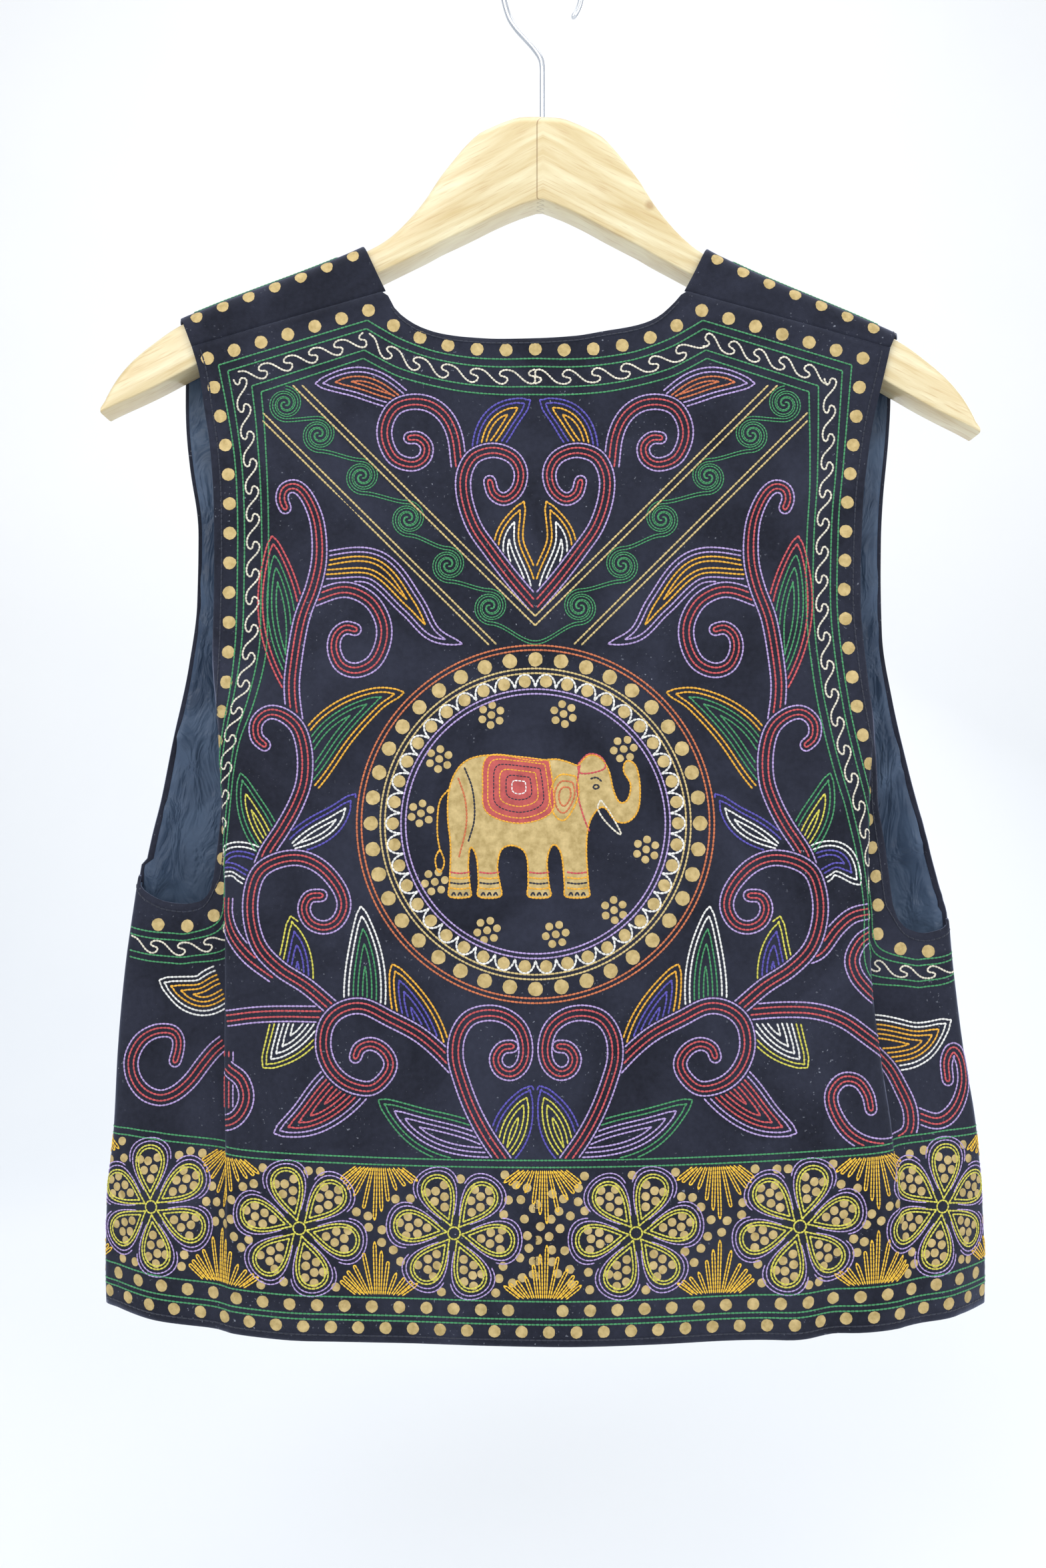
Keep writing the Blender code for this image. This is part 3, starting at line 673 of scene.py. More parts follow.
def lay_grid(mesh, points):
    """Adds a grid whose vertices lie at points, by row and column."""
    rows, columns = points.shape[:2]
    made = bmesh.ops.create_grid(mesh, x_segments=columns - 1, y_segments=rows - 1, size=1)
    for vertex in made["verts"]:
        column = round((vertex.co.x + 1) / 2 * (columns - 1))
        row = round((vertex.co.y + 1) / 2 * (rows - 1))
        vertex.co = points[row, column]


def swept_piece(name, rings, merge, material, smooth_angle):
    """A piece whose skin runs through rings of points and closes at both ends."""
    mesh = bmesh.new()
    lay_grid(mesh, rings)
    bmesh.ops.remove_doubles(mesh, verts=mesh.verts, dist=merge)
    bmesh.ops.holes_fill(mesh, edges=[edge for edge in mesh.edges if edge.is_boundary], sides=0)
    bmesh.ops.recalc_face_normals(mesh, faces=mesh.faces)
    return from_bmesh(name, mesh, material, smooth_angle)


CLOTH_MERGE = 0.36 * MM


def cloth_piece(name, blocks, thickness, material):
    """A wall of cloth whose middle lies on grids of points."""
    mesh = bmesh.new()
    for points in blocks:
        lay_grid(mesh, points)
    bmesh.ops.remove_doubles(mesh, verts=mesh.verts, dist=CLOTH_MERGE)
    piece = from_bmesh(name, mesh, material, 50)
    wall = piece.modifiers.new("wall", "SOLIDIFY")
    wall.thickness = thickness
    wall.offset = 0
    return piece


class Socket:
    """A shader value that can be used in Python sums."""

    def __init__(self, made, link):
        self.made, self.link = made, link

    def maths(self, kind, *others):
        return self.made.node("ShaderNodeMath", {"operation": kind}, self, *others)

    def __add__(self, other):
        return self.maths("ADD", other)

    def __sub__(self, other):
        return self.maths("SUBTRACT", other)

    def __rsub__(self, other):
        return self.made.node("ShaderNodeMath", {"operation": "SUBTRACT"}, other, self)

    def __mul__(self, other):
        return self.maths("MULTIPLY", other)

    __radd__, __rmul__ = __add__, __mul__


class Finish:
    """A Principled material and the nodes that feed it."""

    def __init__(self, name, **values):
        self.material = bpy.data.materials.new(name)
        self.material.use_nodes = True
        self.nodes = self.material.node_tree.nodes
        self.links = self.material.node_tree.links
        self.shader = self.nodes["Principled BSDF"]
        for key, value in values.items():
            self.set(key.replace("_", " ").title().replace("Ior", "IOR"), value)
        self.place = self.node("ShaderNodeTexCoord", {}, output="Object")

    def set(self, name, value):
        socket = self.shader.inputs[name]
        if isinstance(value, Socket):
            self.links.new(value.link, socket)
        else:
            is_colour = isinstance(value, tuple) and len(socket.default_value) == 4
            socket.default_value = (*value, 1) if is_colour else value

    def node(self, kind, settings, *values, output=0, **named):
        """Adds a node: its settings first, then the values or links of its sockets."""
        made = self.nodes.new(kind)
        for key, value in settings.items():
            if key == "stops":
                for stop, (place, colour) in zip(made.color_ramp.elements, value):
                    stop.position, stop.color = place, (*colour, 1)
            else:
                setattr(made, key, value)
        pairs = list(zip(made.inputs, values))
        pairs += [(made.inputs[key], value) for key, value in named.items()]
        for socket, value in pairs:
            if isinstance(value, Socket):
                self.links.new(value.link, socket)
            else:
                socket.default_value = value
        return Socket(self, made.outputs[output])

    def noise(self, scale, detail=3, roughness=0.5, place=None, distortion=0.0):
        return self.node(
            "ShaderNodeTexNoise", {}, output="Fac", Vector=place or self.place, Scale=scale,
            Detail=detail, Roughness=roughness, Distortion=distortion,
        )

    def stretched(self, scale):
        """Object coordinates, scaled along each axis."""
        return self.node("ShaderNodeMapping", {}, output="Vector", Vector=self.place, Scale=scale)

    def colours(self, share, first, second):
        """A colour from first to second as share goes from 0 to 1."""
        stops = ((0.0, first), (1.0, second))
        return self.node("ShaderNodeValToRGB", {"stops": stops}, share, output="Color")

    def over(self, share, under, colour):
        """What is under with a share of a colour over it."""
        settings = {"data_type": "RGBA"}
        return self.node("ShaderNodeMix", settings, output=2, Factor=share, A=under, B=(*colour, 1))

    def axis(self, name):
        return self.node("ShaderNodeSeparateXYZ", {}, self.place, output=name)

    def combined(self, x, y, z):
        return self.node("ShaderNodeCombineXYZ", {}, x, y, z, output="Vector")

    def range(self, value, low, high):
        """value from low to high taken to 0 to 1."""
        return self.node("ShaderNodeMapRange", {}, value, low, high, 0.0, 1.0, output="Result")

    def bump(self, height, strength, distance, under=None):
        named = {"Height": height, "Strength": strength, "Distance": distance}
        if under:
            named["Normal"] = under
        return self.node("ShaderNodeBump", {}, output="Normal", **named)


def velvet_finish():
    """Midnight velvet: short pile with lighter cloudy patches, partly its own tone and partly painted
    sheen, with dust and lint in it and a pale sheen.
    """
    made = Finish(
        "dark_velvet", roughness=0.85, sheen_weight=0.5, sheen_roughness=0.36,
        sheen_tint=(0.5, 0.56, 0.8), specular_ior_level=0.22,
    )
    # Painted sheen: the large lighter patches in the pile colour, carried on through the pressed share,
    # are partly the pile's own tone and partly sheen painted in.
    crushed_sheen = made.range(made.noise(14, detail=5, roughness=0.6, distortion=0.9), 0.36, 0.66)
    fine = made.range(made.noise(420, detail=2), 0.3, 0.7)
    pressed = crushed_sheen * 0.75 + fine * 0.25
    pile = made.colours(pressed, (0.0065, 0.0076, 0.0145), (0.0255, 0.0285, 0.0475))
    lint = made.range(made.noise(700, detail=2, roughness=0.5), 0.69, 0.74)
    patch = made.range(made.noise(24, detail=2), 0.42, 0.62)
    made.set("Base Color", made.over(lint * patch * 0.6, pile, (0.34, 0.36, 0.42)))
    soft = made.bump(made.noise(19, detail=4, distortion=1.1), 0.5, 2.8 * MM)
    made.set("Normal", made.bump(made.noise(1500, detail=2), 0.35, 0.3 * MM, under=soft))
    return made.material


def lining_finish():
    """Slate satin: smooth weave with fine creases."""
    made = Finish(
        "slate_lining", roughness=0.42, specular_ior_level=0.24, sheen_weight=0.15,
        sheen_tint=(0.5, 0.65, 0.9),
    )
    tone = made.range(made.noise(30, detail=3, distortion=0.6), 0.3, 0.7)
    made.set("Base Color", made.colours(tone, (0.034, 0.054, 0.094), (0.074, 0.112, 0.178)))
    made.set("Roughness", 0.34 + tone * 0.14)
    crease = made.noise(1, detail=3, place=made.stretched((70, 60, 30)), distortion=1.6)
    weave = made.noise(1, detail=1, place=made.stretched((2600, 2600, 900)))
    rough = made.bump(crease, 0.85, 4.5 * MM)
    made.set("Normal", made.bump(weave, 0.2, 0.1 * MM, under=rough))
    return made.material


KNOT_PLACE = (54.3 * MM, -9 * MM, -131.2 * MM)


def wood_finish():
    """Pale lacquered wood, its grain along each arm, with darker pores and a small knot."""
    made = Finish("lacquered_wood", roughness=0.34, coat_roughness=0.16, specular_ior_level=0.5)
    made.set("Coat Weight", 0.35)
    x, y, z = (made.axis(name) for name in "XYZ")
    lean = x.maths("ABSOLUTE") * 0.5
    across = z + lean
    run = x.maths("ABSOLUTE") - z * 0.5
    grain_place = made.combined(run * 9.0, y * 60.0, across * 95.0)
    figure = made.noise(1, detail=4, roughness=0.6, place=grain_place, distortion=0.9)
    pore_place = made.combined(run * 60.0, y * 900.0, across * 1100.0)
    pores = made.range(made.noise(1, detail=2, place=pore_place), 0.56, 0.72)
    tone = made.range(figure, 0.33, 0.7)
    plain = made.colours(tone, (0.6, 0.45, 0.21), (0.82, 0.74, 0.49))
    streaked = made.over(pores * 0.42, plain, (0.47, 0.27, 0.1))
    settings = {"operation": "DISTANCE"}
    away = made.node("ShaderNodeVectorMath", settings, made.place, KNOT_PLACE, output="Value")
    knot = made.range(away, 3.4 * MM, 1.2 * MM)
    knotted = made.over(knot * 0.6, streaked, (0.36, 0.19, 0.07))
    finger = made.node("ShaderNodeMath", {"operation": "PINGPONG"}, y + 9 * MM, FINGER_PITCH)
    from_joint = (x - MITRE_X - finger * 1.6).maths("ABSOLUTE")
    joint = made.range(from_joint, 0.42 * MM, 0.12 * MM)
    made.set("Base Color", made.over(joint * 0.72, knotted, (0.2, 0.1, 0.035)))
    made.set("Roughness", 0.3 + pores * 0.14)
    made.set("Normal", made.bump(1 - pores, 0.14, 0.12 * MM))
    return made.material


def wire_finish():
    made = Finish("bright_wire", metallic=1.0, roughness=0.22)
    drawn = made.noise(1, detail=2, place=made.stretched((1200, 1200, 60)))
    made.set("Base Color", made.colours(drawn, (0.62, 0.63, 0.66), (0.82, 0.83, 0.85)))
    made.set("Roughness", 0.16 + drawn * 0.14)
    return made.material


def print_finish(name, dark, light):
    """Metallic pigment printed on pile, thin and a little broken."""
    made = Finish(name, roughness=0.55, metallic=0.25)
    worn = made.range(made.noise(260, detail=4, roughness=0.65), 0.3, 0.72)
    made.set("Base Color", made.colours(worn, dark, light))
    made.set("Roughness", 0.45 + worn * 0.2)
    made.set("Normal", made.bump(made.noise(1400, detail=2), 0.3, 0.15 * MM))
    return made.material


def thread_finish(name, colour):
    """Twisted embroidery yarn: its ply shows as a fine slanting change of tone."""
    made = Finish(name, roughness=0.62, sheen_weight=0.25, sheen_roughness=0.4, specular_ior_level=0.35)
    ply = made.range(made.noise(700, detail=2), 0.25, 0.75)
    dark = tuple(0.62 * value for value in colour)
    light = tuple(min(1.0, 1.16 * value) for value in colour)
    made.set("Base Color", made.colours(ply, dark, light))
    made.set("Sheen Tint", (1.0, 1.0, 1.0))
    return made.material


THREADS = {
    "green": (0.058, 0.30, 0.115),
    "coral": (0.60, 0.085, 0.095),
    "lilac": (0.47, 0.345, 0.66),
    "violet": (0.10, 0.08, 0.42),
    "gold": (0.83, 0.42, 0.035),
    "amber": (1.0, 0.56, 0.045),
    "yellow": (0.67, 0.62, 0.085),
    "cream": (0.80, 0.74, 0.60),
    "straw": (0.66, 0.50, 0.21),
    "copper": (0.62, 0.17, 0.065),
    "white": (0.85, 0.84, 0.80),
    "navy": (0.016, 0.02, 0.038),
}
THREAD_WIDTHS = {
    "cream": 1.02 * MM, "green": 0.85 * MM, "navy": 0.8 * MM, "yellow": 0.88 * MM, "lilac": 0.9 * MM,
}
MOST_TRIANGLES = 190_000
FINE_PITCH = 1.6 * MM
FAN_THREAD = 0.74 * MM
FLOWER_THREAD = 0.72 * MM
SPIRAL_THREAD = 0.64 * MM
STITCH_PITCH = 2.0 * MM
THREAD_WIDTH = 0.98 * MM
THREAD_HEIGHT = 0.55 * MM
LEAF_SPACING = 2.3 * MM
LEAF_POINT = 0.86
PRINT_HEIGHT = 0.12 * MM
DOT_RADIUS = 3.3 * MM


def arrays_of(mesh):
    """The points and triangles of a mesh, which is freed."""
    bmesh.ops.triangulate(mesh, faces=mesh.faces)
    mesh.verts.index_update()
    points = np.array([tuple(vertex.co) for vertex in mesh.verts])
    faces = np.array([[vertex.index for vertex in face.verts] for face in mesh.faces])
    mesh.free()
    return points, faces


def link_shape():
    """One chain stitch, a unit long, wide and high: a lobed teardrop, flat on top."""
    mesh = bmesh.new()
    bmesh.ops.create_uvsphere(mesh, u_segments=5, v_segments=3, radius=0.5)
    for vertex in mesh.verts:
        x, y, z = vertex.co.z, vertex.co.x, vertex.co.y
        wide = 1 + 0.35 * x
        vertex.co = (x * 1.24, y * 1.16 * wide, z * 1.3 * wide + 0.12)
    return arrays_of(mesh)


def disc_shape(segments):
    """A thin round print of unit radius, from under the pile to its top, with an inner ring."""
    mesh = bmesh.new()
    bmesh.ops.create_circle(mesh, cap_ends=True, cap_tris=True, segments=segments, radius=1)
    spokes = [edge for edge in mesh.edges if min(vertex.co.length for vertex in edge.verts) < 0.01]
    bmesh.ops.subdivide_edges(mesh, edges=spokes, cuts=1)
    pushed = bmesh.ops.extrude_face_region(mesh, geom=mesh.faces[:])
    raised = [item for item in pushed["geom"] if isinstance(item, bmesh.types.BMVert)]
    bmesh.ops.translate(mesh, verts=raised, vec=(0, 0, 1))
    bmesh.ops.recalc_face_normals(mesh, faces=mesh.faces)
    return arrays_of(mesh)


def repeated(name, points, faces, material, soft=True):
    """A piece of many copies of one shape: points by copy, and the shape's faces."""
    copies, size = points.shape[:2]
    corners = (faces[None] + (np.arange(copies) * size)[:, None, None]).reshape(-1, 3)
    data = bpy.data.meshes.new(name)
    data.vertices.add(copies * size)
    data.vertices.foreach_set("co", points.astype(np.float32).ravel())
    data.loops.add(corners.size)
    data.loops.foreach_set("vertex_index", corners.astype(np.int32).ravel())
    data.polygons.add(len(corners))
    data.polygons.foreach_set("loop_start", np.arange(0, corners.size, 3, dtype=np.int32))
    data.polygons.foreach_set("use_smooth", np.full(len(corners), soft))
    data.update(calc_edges=True)
    return new_piece(name, data, material)


class Needlework:
    """Collects stitches and printed dots, and makes one piece of each kind."""

    def __init__(self):
        self.stitches = {}
        self.dots = {}

    def sew(self, name, colour, path, place, pitch=STITCH_PITCH, width=None):
        """Lays chain stitches along a path drawn on the cloth."""
        path = np.asarray(path, float)
        width = width or THREAD_WIDTHS.get(colour, THREAD_WIDTH)
        if len(path) < 2:
            return
        places, ways = place(path)
        steps = np.linalg.norm(np.diff(places, axis=0), axis=1)
        keep = np.concatenate([[True], steps > 1e-6])
        places, ways = places[keep], ways[keep]
        distance = run_lengths(places)
        at = np.linspace(0, distance[-1], max(1, round(distance[-1] / pitch)) + 1)
        nodes, tops = read_at(at, distance, places), read_at(at, distance, ways)
        along = np.diff(nodes, axis=0)
        middle, top = 0.5 * (nodes[1:] + nodes[:-1]), 0.5 * (tops[1:] + tops[:-1])
        run = (middle, along, top, np.full(len(along), width))
        self.stitches.setdefault((name, colour), []).append(run)

    def dot(self, spots, radius, place):
        """Prints a round dot at each spot."""
        spots = np.asarray(spots, float).reshape(-1, 2)
        self.dots.setdefault(place, []).append((spots, np.broadcast_to(radius, len(spots))))

    def finish_stitches(self):
        shape, faces = link_shape()
        most = MOST_TRIANGLES // len(faces)
        total = 0
        for (name, colour), runs in self.stitches.items():
            middle, along, top, sizes = (np.concatenate(part) for part in zip(*runs))
            length = np.linalg.norm(along, axis=1, keepdims=True)
            forward = along / np.maximum(length, 1e-9)
            across = np.cross(top, forward)
            across /= np.maximum(np.linalg.norm(across, axis=1, keepdims=True), 1e-9)
            upward = np.cross(forward, across)
            base = middle + top * (VELVET_WALL / 2)
            points = (
                base[:, None]
                + forward[:, None] * (shape[None, :, :1] * length[:, None])
                + across[:, None] * (shape[None, :, 1:2] * sizes[:, None, None])
                + upward[:, None] * (shape[None, :, 2:] * THREAD_HEIGHT)
            )
            total += len(points)
            parts = math.ceil(len(points) / most)
            for number, part in enumerate(np.array_split(points, parts)):
                label = f"{name}_{colour}" + (f"_{number + 1}" if parts > 1 else "")
                piece = repeated(label, part, faces, thread(colour))
        print("stitches", total, "triangles", total * len(faces))

    def finish_dots(self, material):
        shape, faces = disc_shape(12)
        uneven = np.random.default_rng(7)
        rise = np.where(shape[:, 2] > 0.5, VELVET_WALL / 2 + PRINT_HEIGHT, VELVET_WALL / 2 - 0.15 * MM)
        printed = []
        for place, runs in self.dots.items():
            spots, radii = (np.concatenate(part) for part in zip(*runs))
            stretch = radii[:, None] * (1 + uneven.uniform(-0.05, 0.05, (len(spots), len(shape))))
            path = spots[:, None] + shape[None, :, :2] * stretch[..., None]
            places, ways = place(path.reshape(-1, 2))
            lift = ways.reshape(len(spots), -1, 3) * rise[None, :, None]
            printed.append(places.reshape(len(spots), -1, 3) + lift)
        dots = repeated("printed_dots", np.concatenate(printed), faces, material, soft=False)


THREAD_FINISHES = {}


def thread(colour):
    if colour not in THREAD_FINISHES:
        THREAD_FINISHES[colour] = thread_finish(colour + "_thread", THREADS[colour])
    return THREAD_FINISHES[colour]


WORK = Needlework()


def seen_at(points):
    """Where the photograph's pixels lie on the back: distance along with its sign, height."""
    points = np.asarray(points, float).reshape(-1, 2)
    across, down = (points - np.array(PHOTO_SIZE) / 2).T
    sides = np.where(points[:, 0] < PATTERN_CENTRE_U, LEFT, RIGHT)
    y = np.full(len(points), -20 * MM)
    for _ in range(5):
        depth = y - CAMERA_PLACE[1]
        x = CAMERA_PLACE[0] + across * depth / FOCAL_PIXELS
        z = CAMERA_PLACE[2] - down * depth / FOCAL_PIXELS
        out = np.abs(x - CENTRE_X)
        along = np.where(sides == LEFT, HANGS[LEFT].seen_along(out, z), HANGS[RIGHT].seen_along(out, z))
        left_y = HANGS[LEFT].mixed(HANGS[LEFT].y, z, along)
        right_y = HANGS[RIGHT].mixed(HANGS[RIGHT].y, z, along)
        y = np.where(sides == LEFT, left_y, right_y)
    return np.stack([sides * along, z], axis=1)


def smooth(points, steps=10):
    """A smooth curve through every point."""
    points = np.asarray(points, float)
    first, last = 2 * points[0] - points[1], 2 * points[-1] - points[-2]
    return rounded(np.concatenate([[first], points, [last]]), steps)


def spaced(path, spacing):
    """The path again, as points an even distance apart."""
    distance = run_lengths(path)
    return read_at(spread(0, distance[-1], spacing), distance, path)


def matched(lines, count):
    """Lines cut into the same number of points, so that one can be mixed with another."""
    share = np.linspace(0, 1, count)
    return [read_at(share, np.linspace(0, 1, len(line)), line) for line in lines]


def sideways(path):
    """Unit directions to the left of a path's run."""
    run = np.gradient(path, axis=0)
    run /= np.maximum(np.linalg.norm(run, axis=1, keepdims=True), 1e-12)
    return np.stack([-run[:, 1], run[:, 0]], axis=1)


def mirrored(path):
    return path * np.array([-1, 1])


def sew_both(name, colour, path, **how):
    """Sews a line on the back and its mirror image."""
    WORK.sew(name, colour, path, back_place, **how)
    WORK.sew(name, colour, mirrored(path), back_place, **how)


class Claims:
    """Places on the back that are taken, so that later lines stop at their edges."""

    def __init__(self, along=np.abs):
        self.spots = np.zeros((0, 3))
        self.along = along

    def take(self, line, radius):
        rows = np.column_stack([line, np.full(len(line), radius)])
        self.spots = np.concatenate([self.spots, rows])

    def free(self, path):
        """Which points of a path lie on free cloth above the hem band."""
        clear = path[:, 1] - hem_height(self.along(path[:, 0])) > HEM_PAIR_HIGH[1] + 0.8 * MM
        if len(self.spots):
            off = np.hypot(*(path[:, None] - self.spots[None, :, :2]).transpose(2, 0, 1))
            clear &= (off > self.spots[None, :, 2]).all(axis=1)
        return clear


CLAIMS = Claims()


def sew_free(name, colour, path, half_only=False, tip_only=False, claims=CLAIMS, place=back_place):
    """Sews what of a line lies on free cloth.

    With half_only it is kept left of the centre and mirrored, with tip_only to its middle run.
    """
    path = spaced(path, 0.7 * MM)
    clear = claims.free(path)
    if half_only:
        clear &= path[:, 0] < -0.5 * MM
    edges = np.flatnonzero(np.diff(np.concatenate([[False], clear, [False]]).astype(int)))
    runs = edges.reshape(-1, 2)
    if tip_only and len(runs):
        tip = len(path) // 2

        def from_tip(run):
            return max(run[0] - tip, tip - run[1], 0) - 0.001 * (run[1] - run[0])

        runs = [min(runs, key=from_tip)]
    for start, stop in runs:
        if stop - start > 3:
            WORK.sew(name, colour, path[start:stop], place)
            if half_only:
                WORK.sew(name, colour, mirrored(path[start:stop]), place)


VINE_HALF = 3.8 * MM
VINE_LINES = (("lilac", 1.0), ("coral", 0.38))


def vine(name, line, sew, open_end=False):
    """A vine with a round end: a lilac outline and two coral lines inside it."""
    left = sideways(line)
    share = np.linspace(0, 1, len(line))[:, None]
    taper = np.ones(share.shape) if open_end else 1 - 0.2 * smooth_step((share - 0.5) / 0.5)
    for colour, reach in VINE_LINES:
        offset = VINE_HALF * reach * taper
        up, down = line + left * offset, line - left * offset
        if open_end:
            sew(name, colour, up)
            sew(name, colour, down)
            continue
        turn = np.arctan2(left[-1, 1], left[-1, 0]) - np.linspace(0, math.pi, 9)[1:-1]
        cap = line[-1] + offset[-1] * np.stack([np.cos(turn), np.sin(turn)], axis=1)
        sew(name, colour, np.concatenate([up, cap, down[::-1]]))


def leaf(name, axis, half, outer, inner, sew, hidden):
    """A leaf of nested lines round an axis from its base, part of it hidden, to its tip."""
    line = spaced(smooth(axis), 0.8 * MM)
    left = sideways(line)
    share = np.linspace(0, 1, len(line))
    width = half * np.sin(math.pi * (hidden + (1 - hidden) * share)) ** LEAF_POINT
    spacing = min(LEAF_SPACING, half / 3.3)
    inset, number = 0.0, 0
    while width.max() - inset > 0.45 * spacing:
        kept = np.flatnonzero((width > inset) & (share < 1 - 0.035 * number))
        if len(kept) < 4:
            break
        last = kept.max()
        end = smooth_step((last - np.arange(last + 1)) / 5)
        reach = np.maximum(width[: last + 1] - inset, 0) * end
        middle, aside = line[: last + 1], left[: last + 1] * reach[:, None]
        colour = outer if number < 2 else inner
        sew(name, colour, np.concatenate([middle + aside, (middle - aside)[::-1]]))
        inset += spacing
        number += 1


def arc(centre, radius, count, start=0.0, end=360.0):
    """Points round a centre, between two angles in degrees."""
    angle = np.radians(np.linspace(start, end, count))
    return np.asarray(centre) + radius * np.stack([np.cos(angle), np.sin(angle)], axis=1)


# One wave of the running scroll: share of its length, and share of its height
SCROLL_WAVE = (
    (0.00, 1.00), (0.26, 0.78), (0.46, 0.10), (0.64, -0.60), (0.80, -0.96), (0.93, -0.99),
    (1.05, -0.58), (1.07, -0.16), (0.97, 0.02), (0.83, 0.14), (0.77, 0.38), (0.83, 0.76),
)


def scroll(path, period, height):
    """A running wave along a path, each crest hooked over the trough before it."""
    line = spaced(path, 0.8 * MM)
    left = sideways(line)
    distance = run_lengths(line)
    turns = max(1, round(distance[-1] / period))
    shape = np.array([(turn + at, rise) for turn in range(turns) for at, rise in SCROLL_WAVE])
    at, rise = smooth(np.concatenate([shape, [(turns, 1.0)]]), 5).T
    at = np.clip(at / turns, 0, 1) * distance[-1]
    return read_at(at, distance, line) + read_at(at, distance, left) * (height * rise)[:, None]


# The border of the back: its outermost and innermost green lines, from the centre of the neck
# to the peak under the neck's corner, and on to the corner by the armhole
NECK_GUIDES = (
    ((802, 538), (749, 539), (699, 536), (650, 527), (601, 509), (573, 494), (551, 481)),
    ((802, 592), (749, 592), (699, 588), (650, 579), (601, 566), (573, 553), (545, 538)),
)
SHOULDER_GUIDES = (((551, 481), (328, 548)), ((545, 538), (392, 588)))
ARMHOLE_OFFSETS = (12.0 * MM, 27.6 * MM)
UNDERARM_DROPS = {LEFT: (15 * MM, 30 * MM), RIGHT: (13 * MM, 27 * MM)}
LINE_SHARES = (0.0, 0.22, 0.78, 1.0)
SCROLL_SHARE = 0.5
DOT_SHARE = -0.26
DOT_PITCH = 15 * MM
SCROLL_PERIOD = 14.3 * MM
SCROLL_HEIGHT = 3.6 * MM
BACK_BORDER_POINTS = 240


def armhole_guide(side, number):
    """One guide line of the border, from the shoulder corner down and under the arm."""
    offset = ARMHOLE_OFFSETS[number]
    corner = seen_at([SHOULDER_GUIDES[number][1]])[0]
    split = split_height(side)
    z = np.linspace(corner[1], split, 12)
    if side == LEFT:
        tight = 1 - 0.42 * smooth_step((-360 * MM - z) / (60 * MM))
    else:
        tight = np.ones(len(z))
    along = armhole_back(side, z) - offset * tight
    along = along + (abs(corner[0]) - along[0]) * smooth_step(1 - (z[0] - z) / (40 * MM))
    edge = armhole_back(side, split)
    seam = HANGS[side].seam(split)
    past = np.array([0.28, 0.5, 0.75, 1.0]) * (seam - edge)
    low = underarm(side, past).min() - UNDERARM_DROPS[side][number]
    rise = np.array([0.0, 0.0, 0.8, 3.0]) * MM
    bend = np.array([[along[-1] + 3 * MM, low + 7 * MM]])
    under = np.stack([edge + past, low + rise], axis=1)
    points = np.concatenate([np.stack([along, z], axis=1), bend, under])
    line = spaced(smooth(points, 8), 2 * MM)
    return line * np.array([side, 1])


def border_runs(side):
    """The border's three runs on one side of the back, each as two matched guide lines."""
    flip = np.array([side * LEFT, 1])
    runs = []
    for guides in (NECK_GUIDES, SHOULDER_GUIDES):
        pair = [smooth(seen_at(guide)) if len(guide) > 2 else seen_at(guide) for guide in guides]
        runs.append([spaced(line, 2 * MM) * flip for line in pair])
    runs.append([armhole_guide(side, number) for number in (0, 1)])
    return [matched(pair, BACK_BORDER_POINTS) for pair in runs]


def sew_border(name, runs, place, skips=(0, 0, 0)):
    """Green pairs, the cream scroll and dots between guide lines.

    Each of skips says how many of a run's first dots are left out, and None leaves out all.
    """
    for skip, (first, second) in zip(skips, runs):
        for share in LINE_SHARES:
            WORK.sew(name, "green", first + (second - first) * share, place)
        middle = first + (second - first) * SCROLL_SHARE
        room = min(SCROLL_HEIGHT, 0.22 * np.linalg.norm(second - first, axis=1).min())
        WORK.sew(name, "cream", scroll(middle[::-1], SCROLL_PERIOD, room), place, pitch=FINE_PITCH)
        if skip is None:
            continue
        dots = spaced(first + (second - first) * DOT_SHARE, DOT_PITCH)
        dots = dots[:-1] if len(dots) > 2 else dots
        WORK.dot(dots[skip:], DOT_RADIUS, place)


def back_border():
    for side in SIDES:
        sew_border("border", border_runs(side), back_place, skips=(int(side == RIGHT), 0, 0))


# V bands: outer and inner lines of the left band, and its rosettes
V_INNER = ((439, 578), (802, 938))
V_INNER_SECOND = ((453, 578), (802, 924))
V_OUTER = ((394, 619), (744, 966))
V_OUTER_SECOND = ((394, 631), (733, 967))
ROSETTES = ((428, 606), (478, 652), (543, 715), (612, 778), (672, 847), (735, 910))
ROSETTE_RADIUS = 27
ROSETTE_STRAND = 4.6


def spiral(centre, start, radius):
    """One strand of a rosette, wound inwards from an angle."""
    turn = np.linspace(0, 1.5, 60)
    angle = 2 * math.pi * turn + start
    reach = radius * (1 - turn / 1.66)
    return np.array(centre) + reach[:, None] * np.stack([np.cos(angle), np.sin(angle)], axis=1)


def link(start, end):
    """A curve between two points that leaves and arrives level."""
    t = np.linspace(0, 1, 30)[:, None]
    start, end = np.array(start, float), np.array(end, float)
    pull = np.array([0.9 * np.linalg.norm(end - start), 0])
    return (
        start * (2 * t**3 - 3 * t**2 + 1) + pull * (t**3 - 2 * t**2 + t)
        + end * (3 * t**2 - 2 * t**3) + pull * (t**3 - t**2)
    )


def v_bands():
    for line in (V_INNER, V_INNER_SECOND, V_OUTER, V_OUTER_SECOND):
        sew_both("v_band", "straw", seen_at(line))
    for number, (x, y) in enumerate(ROSETTES):
        lines = []
        for strand in (0, 1):
            radius = ROSETTE_RADIUS - ROSETTE_STRAND * strand
            lines += [spiral((x, y), -math.pi / 2, radius), spiral((x, y), math.pi / 2, radius)]
            if number + 1 < len(ROSETTES):
                ahead, top = ROSETTES[number + 1]
                other = ROSETTE_RADIUS - ROSETTE_STRAND * (1 - strand)
                lines.append(link((x, y + radius), (ahead, top - other)))
            else:
                lines.append(link((x, y + radius), (V_INNER[1][0], V_OUTER[1][1] - 5 * strand)))
        for path in lines:
            sew_both("v_band", "green", seen_at(path), pitch=FINE_PITCH, width=SPIRAL_THREAD)


